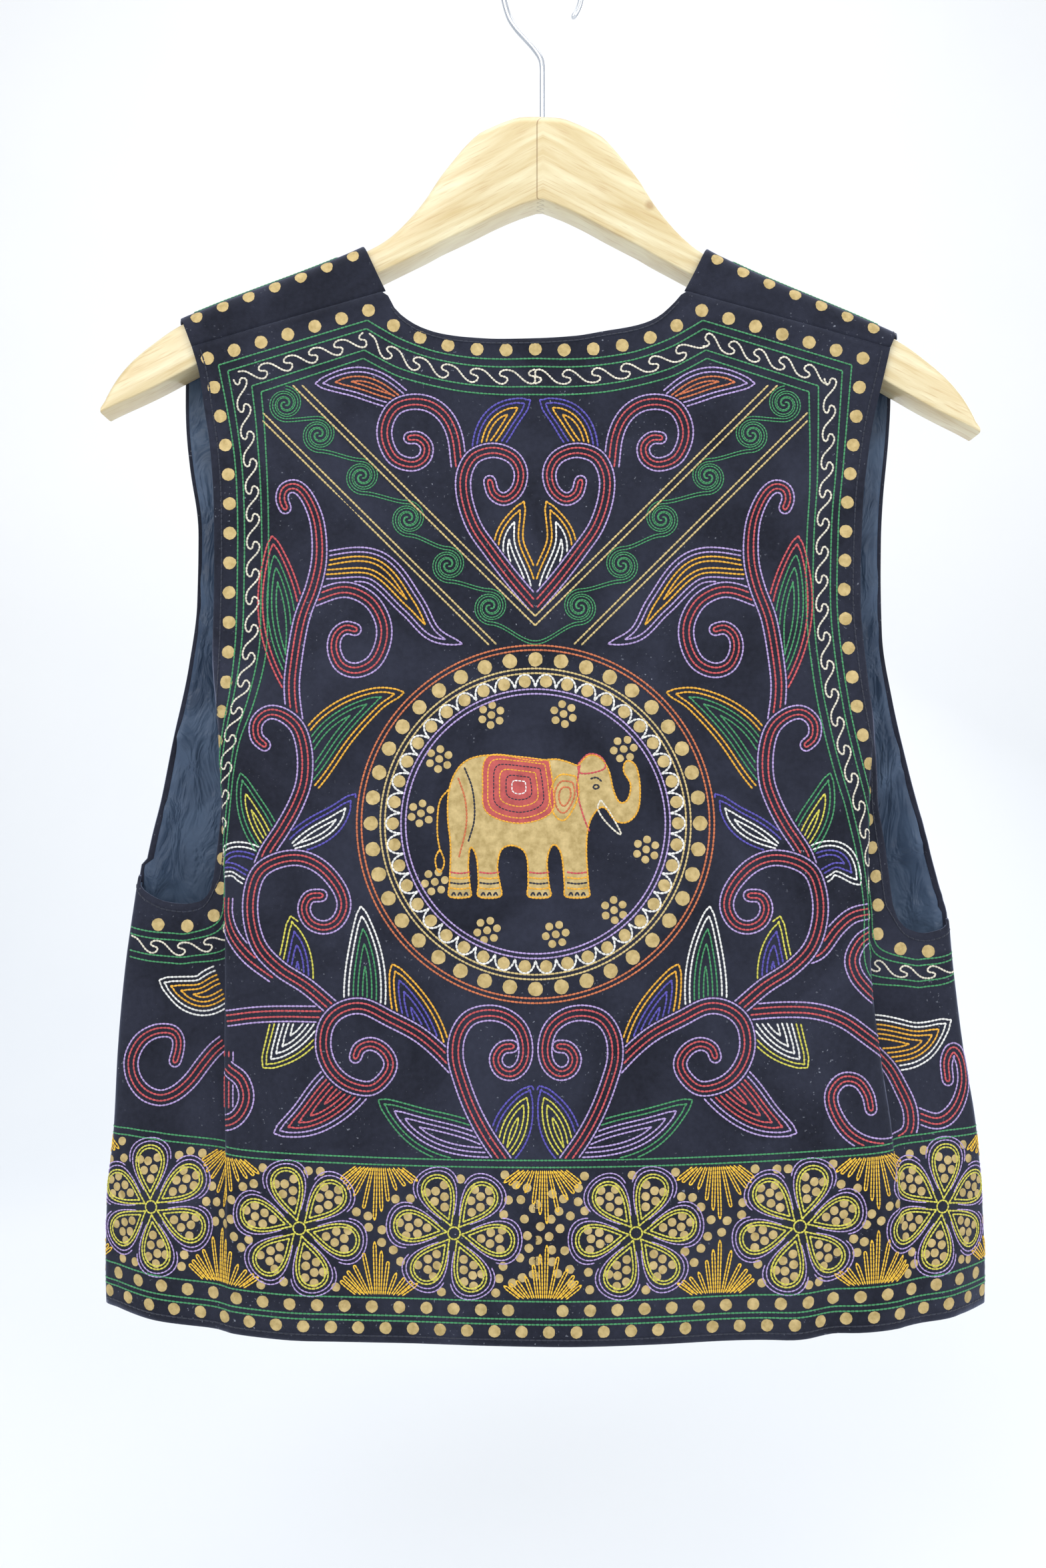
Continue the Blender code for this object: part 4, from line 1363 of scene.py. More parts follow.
# Medallion, in pixels about its centre
MEDALLION = (802, 1234)
PIXEL = 0.333 * MM
RINGS = (
    ("copper", 267), ("copper", 260), ("straw", 232), ("straw", 225), ("lilac", 201), ("lilac", 194),
)
OUTER_DOTS = (246, 40, 11)
INNER_DOTS = (213, 42, 9.3)
CLUSTERS = (
    (-22, 54), (14, 54.5), (44, 37), (-48, 32), (-57, 5), (-50, -29), (-24, -53), (10, -55), (39, -43),
    (55, -13),
)
SCALLOPS = 42
SCALLOP_RADIUS = 202
SCALLOP_RISE = 22
SCALLOP_TURN = 0.075
CLUSTER_DOT = 1.95 * MM
CLUSTER_RADIUS = 5.0 * MM


def medallion():
    centre = seen_at([MEDALLION])[0]
    for colour, radius in RINGS:
        WORK.sew("medallion", colour, arc(centre, radius * PIXEL, 240), back_place)
    for radius, count, size in (OUTER_DOTS, INNER_DOTS):
        spots = arc(centre, radius * PIXEL, count, 0, 360 * (1 - 1 / count))
        WORK.dot(spots, size * PIXEL, back_place)
    angle = np.linspace(0, 2 * math.pi, SCALLOPS * 16 + 1)
    reach = (SCALLOP_RADIUS + SCALLOP_RISE * np.abs(np.sin(SCALLOPS / 2 * angle)) ** 0.5) * PIXEL
    turned = angle + SCALLOP_TURN
    scallops = centre + reach[:, None] * np.stack([np.cos(turned), np.sin(turned)], axis=1)
    WORK.sew("medallion", "white", scallops, back_place, width=1.1 * MM)
    for x, y in CLUSTERS:
        middle = centre + np.array([x, y]) * MM
        WORK.dot([middle], CLUSTER_DOT, back_place)
        WORK.dot(arc(middle, CLUSTER_RADIUS, 6, 7 * x, 7 * x + 300), CLUSTER_DOT, back_place)
    CLAIMS.take(arc(centre, 0.0, 2), (RINGS[0][1] + 4) * PIXEL)
    return centre


# A walking elephant in festive dress, in millimetres, drawn facing left and turned to face right
ELEPHANT = (
    (-22, 17), (-27, 21), (-33, 20), (-37, 15), (-39, 8), (-42, 3), (-46, 4), (-47.5, 10), (-44, 15),
    (-45.5, 19), (-50, 17), (-52, 9), (-51, 0), (-46, -4.5), (-40, -4), (-35, 1), (-31, 0), (-27, -6),
    (-26, -16), (-27, -29), (-27, -33), (-16, -33), (-15.5, -29), (-14, -17), (-10, -13), (-7, -19),
    (-8, -29), (-8.5, -33), (2, -33), (2, -28), (3, -17), (9, -13.5), (15, -15), (17, -22), (15.5, -29),
    (15.5, -33), (26, -33), (26, -28), (27, -18), (30, -14), (31, -22), (30, -30), (30, -33), (40, -33),
    (40, -28), (39.5, -14), (41, -2), (40, 9), (35, 17), (27, 20.5), (14, 21), (0, 19), (-12, 19.5),
)
BLANKET = ((-8, 19), (-10, 8), (-9, -1), (6, -5), (22, -1), (24, 9), (22, 20.5), (7, 20.5))
EAR = ((-21, 13), (-13, 13.5), (-8.5, 7), (-10, -1), (-15, -4), (-20, 1), (-22.5, 7))
TAIL = ((40.5, 8), (45, 3), (46, -8), (44.5, -16))
TAIL_TIP = ((44.5, -15), (42.5, -20), (45, -24), (47, -19), (44.9, -15))
TUSK = ((-33, 4), (-37.5, -1), (-43, -9.5), (-36, -5), (-31.5, 0.5))
BROW = ((-33.5, 11), (-31, 12.6), (-28, 12))
NECKLACE = ((-23, 17.5), (-21.5, 8), (-24.5, -2), (-27.5, -8))
RUMP = ((33, 16.5), (29, 8), (28, -3), (31, -12))
FLANK = ((36, 12.5), (32.5, 4), (32, -6), (35.5, -18))
HEADDRESS = (
    (-22, 17.5), (-27, 21.5), (-33, 20.5), (-35.5, 16.5), (-30, 14.5), (-23, 14.2), (-22, 17.5),
)
EYE = ((-32.4, 9), (-30.6, 10), (-29, 8.8), (-30.6, 8))
ELEPHANT_LINES = (
    (ELEPHANT, "gold", True), (EAR, "gold", True), (BLANKET, "gold", True), (HEADDRESS, "coral", True),
    (TUSK, "cream", True), (TAIL, "gold", False), (TAIL_TIP, "gold", True), (BROW, "navy", False),
    (NECKLACE, "coral", False), (RUMP, "navy", False), (FLANK, "copper", False),
)
ELEPHANT_SCALE = np.array([-1.03, 1.3])
ELEPHANT_SHIFT = np.array([-1.5, 6.5])
FEET = (-21.5, -3.2, 20.8, 35)
ANKLETS = ((-29.6, "gold"), (-27.6, "navy"), (-25.6, "gold"), (-23.6, "coral"))
BLANKET_RINGS = ((0.86, "gold"), (0.7, "navy"), (0.54, "gold"), (0.36, "navy"), (0.2, "white"))
EAR_RINGS = ((0.7, "copper"), (0.42, "copper"))


PATCH_REACH = 54
PATCH_STEP = 6


def print_patch(name, outline, centre, material, rise):
    """A flat print with this outline, cut fine enough to lie on the cloth."""
    mesh = bmesh.new()
    corners = [mesh.verts.new((x, y, 0)) for x, y in outline]
    rim = [mesh.edges.new(pair) for pair in zip(corners, corners[1:] + corners[:1])]
    bmesh.ops.triangle_fill(mesh, use_beauty=True, edges=rim, normal=(0, 0, 1))
    for axis in (0, 1):
        for cut in range(-PATCH_REACH, PATCH_REACH + 1, PATCH_STEP):
            point, way = [0, 0, 0], [0, 0, 0]
            point[axis], way[axis] = cut * MM, 1
            cells = mesh.verts[:] + mesh.edges[:] + mesh.faces[:]
            bmesh.ops.bisect_plane(mesh, geom=cells, plane_co=point, plane_no=way)
    pushed = bmesh.ops.extrude_face_region(mesh, geom=mesh.faces[:])
    raised = {item for item in pushed["geom"] if isinstance(item, bmesh.types.BMVert)}
    spots = np.array([tuple(vertex.co)[:2] for vertex in mesh.verts]) + centre
    places, ways = back_place(spots)
    for vertex, place, way in zip(mesh.verts, places, ways):
        lift = VELVET_WALL / 2 + (rise if vertex in raised else -0.1 * MM)
        vertex.co = place + way * lift
    bmesh.ops.recalc_face_normals(mesh, faces=mesh.faces)
    from_bmesh(name, mesh, material, 30)


def drawn(points, closed=True):
    """A line of the elephant, turned to face right and made taller."""
    line = np.array(points + points[:1] * closed, float) * ELEPHANT_SCALE + ELEPHANT_SHIFT
    return smooth(line * MM, 4)


def elephant(centre, gold, red):
    print_patch("elephant_print", drawn(ELEPHANT)[:-1], centre, gold, PRINT_HEIGHT)
    print_patch("blanket_print", drawn(BLANKET)[:-1], centre, red, PRINT_HEIGHT * 2)

    def sew(colour, line):
        WORK.sew("elephant", colour, line + centre, back_place, pitch=1.8 * MM, width=0.95 * MM)

    for points, colour, closed in ELEPHANT_LINES:
        sew(colour, drawn(points, closed))
    for points, rings in ((BLANKET, BLANKET_RINGS), (EAR, EAR_RINGS)):
        line = drawn(points)
        middle = line.mean(axis=0)
        for shrink, colour in rings:
            sew(colour, middle + (line - middle) * shrink)
    for x in FEET:
        for y, colour in ANKLETS:
            sew(colour, drawn([(x - 4.9, y), (x, y - 0.5), (x + 4.9, y)], closed=False))
        for toe in (x - 3, x, x + 3):
            sew("navy", drawn([(toe - 1, -32.6), (toe, -31.2), (toe + 1, -32.6)], closed=False))
    sew("navy", drawn(EYE))


# Vines of the back, in the order in which they are laid: each from its foot to its curled end,
# in pixels of the left half
VINES = (
    ((802, 908), (768, 868), (735, 825), (711, 790), (697, 750), (695, 715), (707, 688), (728, 677),
     (750, 677), (771, 688), (781, 710), (775, 735), (757, 749), (740, 741), (734, 722)),
    ((757, 1742), (730, 1703), (708, 1662), (692, 1620), (683, 1585), (686, 1552), (702, 1527),
     (728, 1518), (756, 1522), (779, 1540), (788, 1568), (784, 1594), (768, 1609), (750, 1604),
     (743, 1586), (753, 1570), (768, 1568)),
    ((688, 700), (682, 655), (668, 625), (645, 607), (617, 603), (592, 612), (578, 636), (578, 662),
     (592, 688), (618, 697), (636, 688), (640, 670), (628, 657), (614, 657)),
    ((682, 1600), (655, 1572), (625, 1548), (585, 1527), (545, 1508), (512, 1513), (490, 1535),
     (485, 1570), (497, 1602), (522, 1624), (555, 1631), (577, 1615), (586, 1594), (576, 1574),
     (557, 1564), (539, 1570), (533, 1584)),
    ((500, 1512), (460, 1478), (420, 1452), (390, 1420), (377, 1380), (377, 1340), (389, 1307),
     (416, 1290), (450, 1286), (482, 1300), (508, 1330), (516, 1358), (505, 1382), (485, 1390),
     (465, 1382), (456, 1362), (464, 1344), (482, 1342)),
    ((392, 1298), (402, 1275), (425, 1240), (444, 1205), (456, 1170), (457, 1128), (447, 1092),
     (425, 1072), (402, 1068), (385, 1083), (385, 1105), (397, 1117)),
    ((444, 1088), (438, 1040), (440, 1000), (452, 930), (470, 880), (479, 835), (476, 785), (462, 748),
     (445, 730), (428, 733), (423, 748), (428, 762)),
    ((470, 898), (508, 885), (535, 888), (560, 905), (575, 935), (574, 965), (560, 993), (535, 1005),
     (512, 998), (501, 975), (504, 953), (518, 941), (533, 944)),
)
# Where the folds hide other stretches, each side has vines of its own, in its own pixels
RIGHT_VINES = (
    ((1118, 1517), (1170, 1513), (1220, 1515), (1262, 1528), (1298, 1553), (1325, 1592), (1350, 1632),
     (1364, 1668), (1358, 1700), (1335, 1716), (1300, 1714), (1270, 1696), (1250, 1665), (1246, 1638),
     (1262, 1618), (1285, 1620), (1300, 1640), (1305, 1662)),
    ((1366, 1668), (1405, 1680), (1430, 1662), (1443, 1625), (1440, 1590), (1428, 1572), (1418, 1590),
     (1420, 1618)),
)
LEFT_VINES = (
    ((337, 1562), (322, 1574), (305, 1594), (285, 1620), (262, 1639), (238, 1645), (215, 1635),
     (200, 1612), (198, 1585), (212, 1558), (235, 1545), (258, 1545), (268, 1556), (268, 1572),
     (263, 1590)),
)
LEFT_OPEN_VINES = (
    ((486, 1520), (430, 1519), (380, 1521), (341, 1526)),
    ((412, 1462), (375, 1434), (350, 1402), (341, 1372), (341, 1345)),
    ((341, 1598), (345, 1603), (362, 1617), (370, 1641), (364, 1664), (348, 1680), (341, 1682)),
    ((341, 1575), (341, 1592), (341, 1610), (341, 1636), (341, 1660)),
)
# The right side's curl, which goes into the fold and comes back, as distance along and height
FOLD_CURLS = (
    ((132, -511), (141, -507.3), (149.6, -496.4), (158, -489.8), (169, -488)),
    ((170, -499), (162, -502.5), (157.2, -511), (159, -519.5), (165, -526.5), (170.5, -531)),
)
# Leaves of the left half: axis from base to tip, half width, outer and inner thread
LEAVES = (
    (((604, 600), (540, 574), (468, 576)), 24, "lilac", "copper", 0.2),
    (((722, 680), (752, 630), (799, 598)), 26, "violet", "gold", 0.2),
    (((790, 884), (763, 815), (787, 748)), 25, "gold", "white", 0.3),
    (((478, 852), (560, 850), (615, 905), (650, 950), (698, 967)), 26, "lilac", "gold", 0.34),
    (((434, 1030), (420, 905), (408, 799)), 34, "coral", "green", 0.08),
    (((452, 1165), (500, 1095), (560, 1050), (611, 1037)), 34, "gold", "green", 0.34),
    (((410, 1278), (376, 1210), (360, 1154)), 24, "green", "yellow", 0.28),
    (((440, 1268), (500, 1232), (536, 1186)), 25, "violet", "white", 0.24),
    (((444, 1494), (446, 1425), (435, 1368)), 31, "yellow", "violet", 0.38),
    (((547, 1514), (547, 1430), (541, 1353)), 31, "white", "green", 0.4),
    (((645, 1572), (614, 1505), (586, 1440)), 32, "gold", "violet", 0.36),
    (((462, 1508), (430, 1560), (391, 1604)), 42, "yellow", "white", 0.45),
    (((525, 1618), (465, 1672), (406, 1700)), 38, "lilac", "coral", 0.42),
    (((738, 1722), (640, 1694), (563, 1645)), 34, "green", "lilac", 0.26),
    (((756, 1730), (778, 1672), (799, 1622)), 31, "violet", "yellow", 0.26),
)
LEFT_LEAVES = ((((333, 1478), (296, 1491), (235, 1467)), 33, "white", "gold", 0.44),)
RIGHT_LEAVES = (
    (((1315, 1566), (1372, 1563), (1428, 1526)), 42, "white", "gold", 0.42),
    (((1204, 1306), (1254, 1288), (1292, 1330)), 30, "white", "violet", 0.4),
)
# The left leaf whose tip lies in the fold, as distance along and height in millimetres
FOLD_LEAF = ((-134, -468.5), (-151, -462.5), (-167, -473))
FOLD_LEAF_HALF = 10 * MM


def back_garden():
    """Vines stop at the vines laid before them, and leaves at every vine."""

    def sew_half(name, colour, path):
        sew_free(name, colour, path, half_only=True)

    def sew_half_tip(name, colour, path):
        sew_free(name, colour, path, half_only=True, tip_only=True)

    def sew_tip(name, colour, path):
        sew_free(name, colour, path, tip_only=True)

    def lay(points, sew, both, **how):
        line = spaced(smooth(points), 1.2 * MM)
        vine("vines", line, sew, **how)
        radius = VINE_HALF + 0.75 * MM
        CLAIMS.take(line, radius)
        if both:
            CLAIMS.take(mirrored(line), radius)

    for points in VINES:
        lay(seen_at(points), sew_half, True)
    for points in LEFT_VINES + RIGHT_VINES:
        lay(seen_at(points), sew_free, False)
    for points in LEFT_OPEN_VINES:
        lay(seen_at(points), sew_free, False, open_end=True)
    for points in FOLD_CURLS:
        lay(np.array(points) * MM, sew_free, False, open_end=True)
    for axis, half, outer, inner, hidden in LEAVES:
        leaf("leaves", seen_at(axis), half * PIXEL, outer, inner, sew_half_tip, hidden)
    for axis, half, outer, inner, hidden in LEFT_LEAVES + RIGHT_LEAVES:
        leaf("leaves", seen_at(axis), half * PIXEL, outer, inner, sew_tip, hidden)
    leaf("leaves", np.array(FOLD_LEAF) * MM, FOLD_LEAF_HALF, "white", "violet", sew_tip, hidden=0.4)


# The hem band: heights over the hem
HEM_DOTS_LOW = 7.2 * MM
HEM_PAIR_LOW = (10.8 * MM, 13.4 * MM)
HEM_DOTS_HIGH = 17.6 * MM
HEM_LINE = 22 * MM
HEM_PAIR_HIGH = (87.0 * MM, 90.4 * MM)
HEM_DOT_PITCH = 13.4 * MM
HEM_DOT = 3.0 * MM
FLOWER_HEIGHT = 54.5 * MM
PETALS = 6
BACK_FLOWERS = (-196, -116, -40, 49.5, 130, 206)
FRONT_FLOWERS = (282, 358)
FRONT_BAND_END = 30 * MM
FAN_LINES = ((HEM_PAIR_HIGH[0] - 1 * MM, -1), (HEM_LINE + 1 * MM, 1))
MIDDLE_FAN = ((0, 4), (0, 12), (0, 20), (0, 25), (5, 8), (-5, 8), (10, 5), (-10, 5), (15, 4), (-15, 4))
FILL_DOT = 2.2 * MM
FILL_SPACING = 5.3 * MM
FILL_TRIES = 9000
RAY_CLEARANCE = 3.1 * MM
PETAL_CLEARANCE = 36.0
NOTCH_DEPTH = 10.5
# Teardrops of a flower in millimetres: root, tip and half width, and where its outlines begin
PETAL_LINES = ((3.6, 30.0, 7.7), (7.0, 28.5, 6.3))
PETAL_OUTLINES = ((3.2, 31.9, 9.6, 8.0), (3.2, 33.6, 11.2, 22.0))
SEEDS = ((13.5, 0.4), (17.8, -3.2), (18.2, 2.2), (22.3, -0.9), (23.2, -5.2), (23.6, 4.2), (27.2, 0.6))


def petal(root, tip, half):
    """A teardrop along +X between two distances from the flower's centre."""
    turn = np.linspace(0.0, 2 * math.pi, 60)
    x = root + (tip - root) * (1 - np.cos(turn)) / 2
    y = half / 0.73 * np.sin(turn) * np.sin(turn / 2) ** 1.3
    return np.stack([x, y], axis=1) * MM


def flower(centre, start, place):
    """Six petals, each two yellow teardrops full of dots, in a lilac outline that links them."""
    for number in range(PETALS):
        angle = math.radians(start + 360 / PETALS * number)
        turn = np.array([[math.cos(angle), math.sin(angle)], [-math.sin(angle), math.cos(angle)]])
        for root, tip, half in PETAL_LINES:
            WORK.sew("hem", "yellow", petal(root, tip, half) @ turn + centre, place)
        for root, tip, half, first in PETAL_OUTLINES:
            line = spaced(petal(root, tip, half), 0.6 * MM)
            sector = line[:, 0] * math.tan(math.pi / PETALS) - np.abs(line[:, 1])
            line = line[(sector > 0.2 * MM) & (line[:, 0] > first * MM)]
            WORK.sew("hem", "lilac", line @ turn + centre, place, width=FLOWER_THREAD)
        seeds = np.array(SEEDS[: 7 - number % 2]) * MM
        WORK.dot(seeds @ turn + centre, FILL_DOT * 0.98, place)
    WORK.sew("hem", "yellow", arc(centre, 3.1 * MM, 20), place, pitch=FINE_PITCH)


# The loops of a sunburst: foot, how far its tip leans, and length, in millimetres
FAN_LOOPS = (
    (-15.3, -4.6, 5.9), (-12.4, -4.6, 7.2), (-9.5, -3.8, 8.8), (-6.9, -2.4, 10.8), (-4.4, -1.2, 16.7),
    (-1.9, -0.4, 21.4), (0.6, 0.4, 25.8), (2.9, 2.6, 20.6), (5.0, 4.4, 14.3), (7.2, 5.3, 11.4),
    (9.6, 5.3, 8.6), (12.9, 4.6, 6.4),
)


FAN_SPREAD = 0.8 * MM
FAN_LEAN = 1.7 * MM
LOOP_HALF = 0.68 * MM
# A loop from foot to tip and back: shares of its length and of its half width
LOOP_SHAPE = ((0, 0.7), (0.6, 1), (0.93, 0.9), (1, 0), (0.93, -0.9), (0.6, -1), (0, -0.7))


def fan(foot, way, place):
    """A sunburst of narrow loops out of a line, way being 1 up and -1 down."""
    rays = []
    for at, lean, length in FAN_LOOPS:
        start = foot + np.array([FAN_SPREAD * at, way * 0.6 * MM])
        run = np.array([FAN_LEAN * lean, way * length * MM])
        side = np.array([-run[1], run[0]]) / np.linalg.norm(run) * LOOP_HALF
        loop = [start + run * far + side * wide for far, wide in LOOP_SHAPE]
        WORK.sew("hem", "amber", smooth(loop, 4), place, width=FAN_THREAD)
        rays.append(start + run * np.linspace(0, 1, 8)[:, None])
    return np.concatenate(rays)


def fill_dots(low, high, flowers, rays, place, seed):
    """Small dots scattered over what the flowers and fans leave free in the band."""
    random = np.random.default_rng(seed)
    rays = np.concatenate(rays)
    kept = []
    edges = (HEM_LINE + 3.4 * MM, HEM_PAIR_HIGH[0] - 3.4 * MM)
    # The third number of each draw has no use, and keeps the dots where they are
    for across, up, _ in random.uniform((low, edges[0], 0), (high, edges[1], 1), (FILL_TRIES, 3)):
        spot = np.array([across, up])
        if min(np.hypot(*(rays - spot).T)) < RAY_CLEARANCE:
            continue
        near = False
        for centre, start in flowers:
            run = spot - centre
            turn = (math.degrees(math.atan2(run[1], run[0])) - start + 30) % 60 - 30
            near |= np.hypot(*run) < (PETAL_CLEARANCE - NOTCH_DEPTH * (abs(turn) / 30) ** 1.7) * MM
        if not near and all(np.hypot(*(spot - other)) > FILL_SPACING for other in kept):
            kept.append(spot)
    WORK.dot(kept, FILL_DOT, place)


def hem_band():
    for side in SIDES:
        place = band_place(side)
        end = float(HANGS[side].end(HEM_Z)) - FRONT_BAND_END
        run = np.arange(0, end + FRONT_BAND_END - 4 * MM, 2 * MM)
        for height in (*HEM_PAIR_LOW, HEM_LINE, *HEM_PAIR_HIGH):
            WORK.sew("hem", "green", np.stack([run, np.full(len(run), height)], axis=1), place)
        dots = np.arange(HEM_DOT_PITCH / 2, end + FRONT_BAND_END - 5 * MM, HEM_DOT_PITCH)
        for height, shift in ((HEM_DOTS_LOW, 0.0), (HEM_DOTS_HIGH, HEM_DOT_PITCH / 2)):
            spots = np.stack([dots + shift, np.full(len(dots), height)], axis=1)
            WORK.dot(spots, HEM_DOT, place)
        spots = sorted(abs(at) * MM for at in BACK_FLOWERS if at * side > 0)
        spots += [at * MM for at in FRONT_FLOWERS]
        starts = [8 + 5 * (number % 3) for number in range(len(spots))]
        flowers = [(np.array([at, FLOWER_HEIGHT]), start) for at, start in zip(spots, starts)]
        for centre, start in flowers:
            flower(centre, start, place)
        between = [0.5 * (a + b) for a, b in zip(spots, spots[1:])] + [spots[-1] + 38 * MM]
        feet = [(at, height, way) for at in between for height, way in FAN_LINES]
        rays = [fan(np.array([at, height]), way, place) for at, height, way in feet]
        middle = [np.array([4.5 * MM * side, height]) for height, _ in FAN_LINES]
        rays += [
            foot + np.array(MIDDLE_FAN) * MM * (1, way) * reach
            for foot, (_, way) in zip(middle, FAN_LINES) for reach in (0.25, 0.5, 0.75, 1.0)
        ]
        fill_dots(0, end + 14 * MM, flowers, rays, place, 11 + side)
    for height, way in FAN_LINES:
        fan(np.array([4.5 * MM, height]), way, band_both)


def band_both(path):
    """Places and ways near the hem on both sides of the centre back."""
    return both_sides(path, lambda side, rows: band_place(side)(rows))


FRONT_EDGE_OFFSETS = (11.5 * MM, 26.5 * MM)
FRONT_RIDGE_DROPS = (-7.0 * MM, 10.0 * MM)
FRONT_TOP_Z = -165 * MM
FRONT_ARM_Z = -190 * MM
FRONT_CORNER_RUN = 30 * MM
FRONT_BORDER_POINTS = 200


def front_border(side):
    """The same border on a front: along its neck and centre edge, the shoulder and armhole."""

    def ridge(out):
        return over_end_height(CENTRE_X + side * out) + OVER_END

    guides = {"edge": [], "ridge": [], "arm": []}
    for number in (0, 1):
        offset, drop = FRONT_EDGE_OFFSETS[number], FRONT_RIDGE_DROPS[number]
        arm_offset = ARMHOLE_OFFSETS[number]
        top_z = FRONT_TOP_Z - drop
        neck_out = front_edge(top_z) + offset
        arm_out = armhole_front(side, FRONT_ARM_Z) - arm_offset
        outs = np.linspace(neck_out, arm_out, 40)
        guides["ridge"].append(np.stack([outs, ridge(outs) - drop], axis=1))
        low = HEM_Z + HEM_PAIR_HIGH[1] + 2 * MM
        z = np.linspace(ridge(neck_out) - drop, low, 120)
        out = front_edge(z) + offset
        out = out + (neck_out - out[0]) * smooth_step(1 - (z[0] - z) / FRONT_CORNER_RUN)
        guides["edge"].append(np.stack([out, z], axis=1))
        split = float(ARMHOLE_FRONT[side]["z"][-1])
        z = np.linspace(ridge(arm_out) - drop, split, 60)
        out = armhole_front(side, z) - arm_offset
        out = out + (arm_out - out[0]) * smooth_step(1 - (z[0] - z) / FRONT_CORNER_RUN)
        edge_out = body(SIDE_NAMES[side] + "_edge", split)
        end = [
            (out[-1] + 0.3 * arm_offset, split - 0.75 * arm_offset),
            (edge_out - 1 * MM, split - arm_offset),
        ]
        arm = np.concatenate([np.stack([out, z], axis=1)[::6], end])
        guides["arm"].append(spaced(smooth(arm), 2 * MM))
    runs = [matched(pair, FRONT_BORDER_POINTS) for pair in guides.values()]
    sew_border("front_border", runs, front_place(side), skips=(1, None, 1))


# Front panels: vines and leaves as (out, height) in millimetres
FRONT_VINES = (
    ((120, -612), (112, -575), (118, -540), (134, -505), (138, -465), (126, -425), (113, -385),
     (109, -345), (114, -305), (115, -272), (118, -248), (128, -236), (138, -241), (138, -253),
     (130, -258), (126, -251)),
    ((114, -556), (98, -530), (78, -516), (60, -524), (53, -544), (61, -562), (77, -564), (84, -552),
     (76, -543)),
    ((117, -590), (136, -572), (158, -558), (180, -561), (190, -577), (181, -592), (166, -589),
     (164, -577), (172, -573)),
    ((136, -478), (120, -452), (100, -440), (81, -446), (72, -463), (79, -479), (93, -482), (98, -472),
     (90, -465)),
    ((133, -507), (156, -513), (178, -510), (192, -521), (191, -537), (177, -542), (170, -532),
     (177, -525)),
    ((111, -368), (96, -346), (79, -346), (71, -360), (77, -374), (89, -374), (91, -363)),
    ((111, -333), (120, -314), (132, -311), (138, -321), (134, -332), (126, -329)),
)
FRONT_LEAVES = (
    (((122, -420), (134, -398), (135, -366)), 8, "gold", "green"),
    (((116, -398), (96, -398), (74, -414)), 9, "yellow", "violet"),
    (((76, -452), (57, -438), (50, -412)), 8, "green", "yellow"),
    (((130, -514), (108, -504), (84, -504)), 9.5, "lilac", "coral"),
    (((139, -464), (152, -440), (153, -410)), 9, "violet", "white"),
    (((116, -584), (94, -590), (68, -584)), 9, "green", "lilac"),
    (((62, -520), (50, -502), (46, -472)), 8, "gold", "violet"),
    (((186, -568), (201, -552), (206, -526)), 9, "white", "gold"),
    (((146, -562), (150, -545), (145, -524)), 8, "yellow", "white"),
    (((115, -288), (127, -281), (141, -290)), 6.5, "lilac", "copper"),
    (((112, -302), (100, -292), (93, -270)), 7, "yellow", "green"),
    (((148, -568), (152, -584), (144, -602)), 7.5, "white", "coral"),
)


def front_garden(side):
    place = front_place(side)
    whole = float(HANGS[side].end(HEM_Z)) + float(front_edge(HEM_Z))
    claims = Claims(along=lambda out: whole - out)

    def sew_front(name, colour, path):
        sew_free(name, colour, path, claims=claims, place=place)

    def sew_tip(name, colour, path):
        sew_free(name, colour, path, tip_only=True, claims=claims, place=place)

    for points in FRONT_VINES:
        line = spaced(smooth(np.array(points) * MM), 1.2 * MM)
        vine("front_vines", line, sew_front)
        claims.take(line, VINE_HALF + 0.8 * MM)
    for axis, half, outer, inner in FRONT_LEAVES:
        leaf("front_leaves", np.array(axis) * MM, half * MM, outer, inner, sew_tip, hidden=0.3)


TOP_STITCH_IN = 4.0 * MM
NECK_STITCH_IN = 2.4 * MM
TOP_STITCH_PITCH = 2.8 * MM


def top_stitching():
    """The line of small stitches that holds each turned-in edge."""

    def stitch(line, place):
        WORK.sew("top_stitching", "navy", line, place, pitch=TOP_STITCH_PITCH)

    outs = np.linspace(-NECK_HALF + 3 * MM, NECK_HALF - 3 * MM, 120)
    neck = np.stack([outs, eased(NECKLINE["out"], NECKLINE["z"], outs) - NECK_STITCH_IN], axis=1)
    stitch(neck, back_place)
    for side in SIDES:
        z = np.linspace(SEAM_END_Z[side] - 2 * MM, split_height(side), 160)
        arm = np.stack([side * (armhole_back(side, z) - TOP_STITCH_IN), z], axis=1)
        edge = armhole_back(side, split_height(side))
        past = np.linspace(2 * MM, HANGS[side].seam(split_height(side)) - edge - 1 * MM, 40)
        under = np.stack([side * (edge + past), underarm(side, past) - TOP_STITCH_IN], axis=1)
        stitch(np.concatenate([arm, under]), back_place)
        run = np.arange(0, float(HANGS[side].end(HEM_Z)) - 3 * MM, 2 * MM)
        hem = np.stack([run, np.full(len(run), 3.4 * MM)], axis=1)
        stitch(hem, band_place(side))
        z = np.linspace(-175 * MM, HEM_Z + 4 * MM, 220)
        for rows, offset in ((FRONT_EDGE, TOP_STITCH_IN), (ARMHOLE_FRONT[side], -TOP_STITCH_IN)):
            kept = z[z > rows["z"][-1]]
            line = np.stack([eased(rows["z"], rows["out"], kept) + offset, kept], axis=1)
            stitch(line, front_place(side))


# The front's shoulder dots: first and last distance out, and how many
SHOULDER_DOTS = (92 * MM, 171 * MM, 7)


def shoulder_dots(side):
    """Dots of the front's shoulder border, which lie behind the ridge."""

    def place(path):
        x = CENTRE_X + side * path[:, 0]
        return over_board(x, path[:, 1] - over_end_height(x) - OVER_END)

    outs = np.linspace(*SHOULDER_DOTS)
    heights = over_end_height(CENTRE_X + side * outs) + 3.4 * MM
    WORK.dot(np.stack([outs, heights], axis=1), DOT_RADIUS * 0.95, place)


